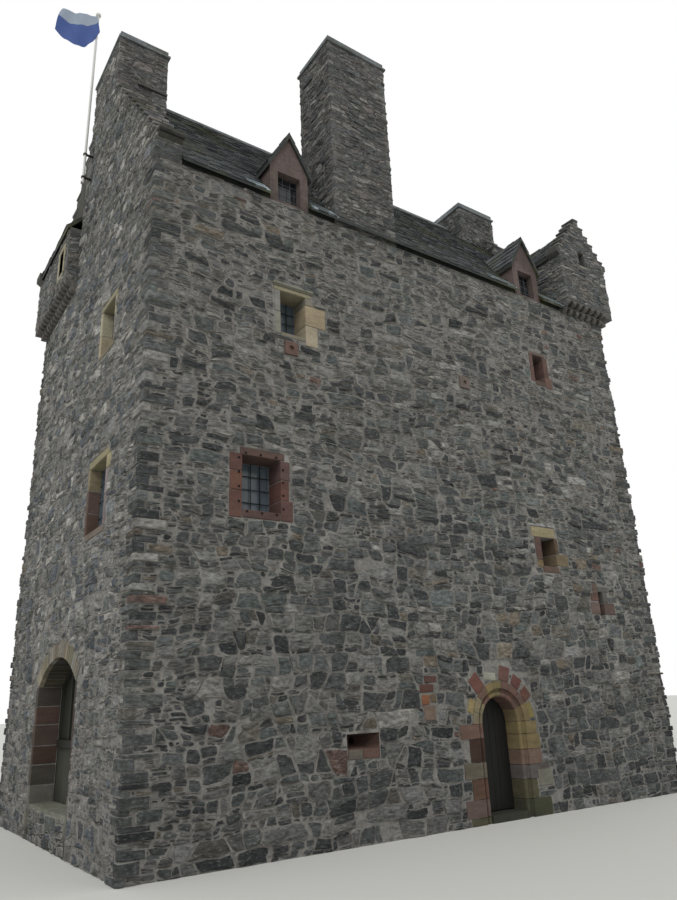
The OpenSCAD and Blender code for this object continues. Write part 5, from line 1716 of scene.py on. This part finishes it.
class KEEP_OT_gable_door(bpy.types.Operator):
    """Build the arch stones and jambs of the gable door"""

    bl_idname = "keep.gable_door"
    bl_label = "Gable door"

    def execute(self, context):
        rng = np.random.default_rng(81)
        heap = Heap()
        a0 = math.acos(GATE_HALF / GATE_RADIUS)
        count = 24
        shift = np.concatenate([[0], rng.uniform(-0.008, 0.008, count - 1), [0]])
        cuts = np.linspace(math.pi - a0, a0, count + 1) + shift
        for k in range(count):
            code = GATE_ARCH[rng.integers(len(GATE_ARCH))]
            tone = np.array(rgb(code)) * rng.uniform(0.82, 1.15)
            reach = 0.27 + rng.uniform(-0.03, 0.03)
            ends = (cuts[k] - 0.0045, cuts[k + 1] + 0.0045)
            path = [arc_frames(GATE_U, GATE_Z, GATE_RADIUS, *ends, 3)]
            # the stone at the face, and the arch behind it, set back, at 0.3 of the face's tone
            # as painted shade
            layers = ((reach, 0.07, -0.014, 1.0), (0.2, 0.41, 0.072, 0.3))
            for far, depth, near, shade in layers:
                section = [(-0.006, depth), (far, depth), (far, near), (-0.006, near)]
                swept_stones(heap, section, path, [tone * shade], NEAR)
        for side in (-1, 1):
            for top, foot, code, left, right in GATE_JAMBS:
                more = left if side < 0 else right
                ends = (GATE_U + side * (GATE_HALF - 0.006), GATE_U + side * (GATE_HALF + more))
                box = [(*sorted(ends), foot + 0.005, top - 0.005)]
                wall_blocks(heap, NEAR, box, [(-0.41, 0.012)], 0.010, rgb(code))
        heap.piece("gable_door_stones", finish("sandstone"), slot="buff_sandstone")
        return {"FINISHED"}


class KEEP_OT_flag(bpy.types.Operator):
    """Hang the flag"""

    bl_idname = "keep.flag"
    bl_label = "Flag"

    def execute(self, context):
        # The upper edge is a straight line, the lower one a quadratic curve that sags. Waves
        # that grow from the hoist to the fly stand square to them.
        n, m = 49, 33
        a, b = np.meshgrid(np.linspace(0, 1, n), np.linspace(0, 1, m), indexing="ij")
        head_fly = np.array([0.935, -0.317])
        foot, sag, foot_fly = np.array([[-0.092, 0.524], [0.275, 1.50], [1.073, 0.309]])
        s, p = a[..., None], b[..., None]
        under = foot * (1 - s) ** 2 + sag * 2 * s * (1 - s) + foot_fly * s**2
        flat = head_fly * s * p + under * (1 - p)
        turn = math.radians(145)
        along = np.array([math.cos(turn), math.sin(turn), 0])
        aside = np.array([-math.sin(turn), math.cos(turn), 0])
        wave = 0.036 + 0.05 * a * np.sin(a * 12 + b * 3.5)
        wave += 0.03 * (a * (1 - a)) ** 0.5 * np.sin(a * 27 - b * 6) * (1 - 0.5 * b)
        base = np.array([-HALF_L - 0.2, 0.64, 18.68])
        points = base + flat[..., :1] * along + wave[..., None] * aside
        points -= flat[..., 1:] * [0, 0, 1]
        i, j = np.meshgrid(np.arange(n - 1), np.arange(m - 1), indexing="ij")
        at = i * m + j
        quads = np.stack([at, at + m, at + m + 1, at + 1], 2).reshape(-1, 4)
        piece = make_piece(
            "flag_cloth", points.reshape(-1, 3), [quads], finish("flag"), smooth=True,
            slot="flag_cloth",
        )
        layer = piece.data.uv_layers.new(name="UVMap")
        uv = np.stack([a, b], 2).reshape(-1, 2)
        loops = np.zeros(len(piece.data.loops), np.int32)
        piece.data.loops.foreach_get("vertex_index", loops)
        layer.data.foreach_set("uv", uv[loops].astype(np.float32).ravel())
        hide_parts("flag")
        return {"FINISHED"}


class KEEP_OT_stage(bpy.types.Operator):
    """Set the floor, the light and the camera"""

    bl_idname = "keep.stage"
    bl_label = "Stage"

    def execute(self, context):
        scene = context.scene
        size = 400.0
        mesh = bpy.data.meshes.new("floor")
        ends = [(-size, -size, 0), (size, -size, 0), (size, size, 0), (-size, size, 0)]
        mesh.from_pydata(ends, [], [(0, 1, 2, 3)])
        floor = bpy.data.objects.new("floor", mesh)
        scene.collection.objects.link(floor)
        # painted studio floor, matt and pale
        mesh.materials.append(weathered("pale studio floor", rgb("#cfcfca"), specular=0.1))
        world = bpy.data.worlds.new("overcast sky")
        world.use_nodes = True
        scene.world = world
        tree = world.node_tree
        ground = tree.nodes["Background"]
        path = add_node(tree, "ShaderNodeLightPath").outputs
        links = {0: path["Is Camera Ray"], 1: path["Is Transmission Ray"]}
        seen = add_node(tree, "ShaderNodeMath", links, operation="MAXIMUM").outputs[0]
        level = add_node(tree, "ShaderNodeMapRange", {0: seen, 3: 0.82, 4: 1.0}).outputs[0]
        ground.inputs["Color"].default_value = (1, 1, 1, 1)
        tree.links.new(level, ground.inputs["Strength"])
        sun = bpy.data.lights.new("soft light", "SUN")
        sun.energy = 0.9
        sun.angle = math.radians(40)
        lamp = bpy.data.objects.new("soft light", sun)
        lamp.rotation_euler = (math.radians(48), math.radians(-8), math.radians(-42))
        scene.collection.objects.link(lamp)
        yaw, pitch, roll = (math.radians(v) for v in CAMERA_ANGLES)
        level_out = math.cos(pitch)
        ahead = np.array([math.sin(yaw) * level_out, math.cos(yaw) * level_out, math.sin(pitch)])
        right = np.array([math.cos(yaw), -math.sin(yaw), 0])
        top = np.cross(right, ahead)
        side = math.cos(roll) * right + math.sin(roll) * top
        over = -math.sin(roll) * right + math.cos(roll) * top
        camera = bpy.data.cameras.new("camera")
        camera.lens = CAMERA_FOCUS * 36
        camera.sensor_width = 36
        camera.clip_end = 500
        eye = bpy.data.objects.new("camera", camera)
        scene.collection.objects.link(eye)
        matrix = np.eye(4)
        matrix[:3] = np.stack([side, over, -ahead, CAMERA_PLACE], 1)
        eye.matrix_world = Matrix(matrix.tolist())
        scene.camera = eye
        scene.view_settings.view_transform = "Standard"
        return {"FINISHED"}


class KEEP_PT_panel(bpy.types.Panel):
    """Lists the sizes, the colours and the pieces of the keep"""

    bl_idname = "KEEP_PT_panel"
    bl_label = "Castle keep"
    bl_space_type = "VIEW_3D"
    bl_region_type = "UI"
    bl_category = "Keep"

    def draw(self, context):
        for group in GROUPS:
            data = getattr(context.scene, group)
            for key in data.bl_rna.properties.keys():
                if key not in ("rna_type", "name"):
                    self.layout.prop(data, key)
        for op in OPERATORS:
            self.layout.operator(op.bl_idname)


OPERATORS = [
    KEEP_OT_stage, KEEP_OT_finishes, KEEP_OT_walls, KEEP_OT_stacks, KEEP_OT_turrets,
    KEEP_OT_steps, KEEP_OT_slates, KEEP_OT_windows, KEEP_OT_side_door, KEEP_OT_gable_door,
    KEEP_OT_flag,
]
GROUPS = {
    "keep_stonework": KEEP_PG_stonework,
    "keep_roofing": KEEP_PG_roofing,
    "keep_colours": KEEP_PG_colours,
}


def register():
    """Register the property groups, the operators and the panel."""
    for name, group in GROUPS.items():
        bpy.utils.register_class(group)
        setattr(bpy.types.Scene, name, bpy.props.PointerProperty(type=group))
    for cls in [*OPERATORS, KEEP_PT_panel]:
        bpy.utils.register_class(cls)


def unregister():
    """Take all of that out again."""
    for cls in [KEEP_PT_panel, *reversed(OPERATORS)]:
        bpy.utils.unregister_class(cls)
    for name, group in GROUPS.items():
        delattr(bpy.types.Scene, name)
        bpy.utils.unregister_class(group)


def main():
    """Build the whole scene."""
    register()
    for cls in OPERATORS:
        area, name = cls.bl_idname.split(".")
        getattr(getattr(bpy.ops, area), name)()


if __name__ == "__main__":
    main()
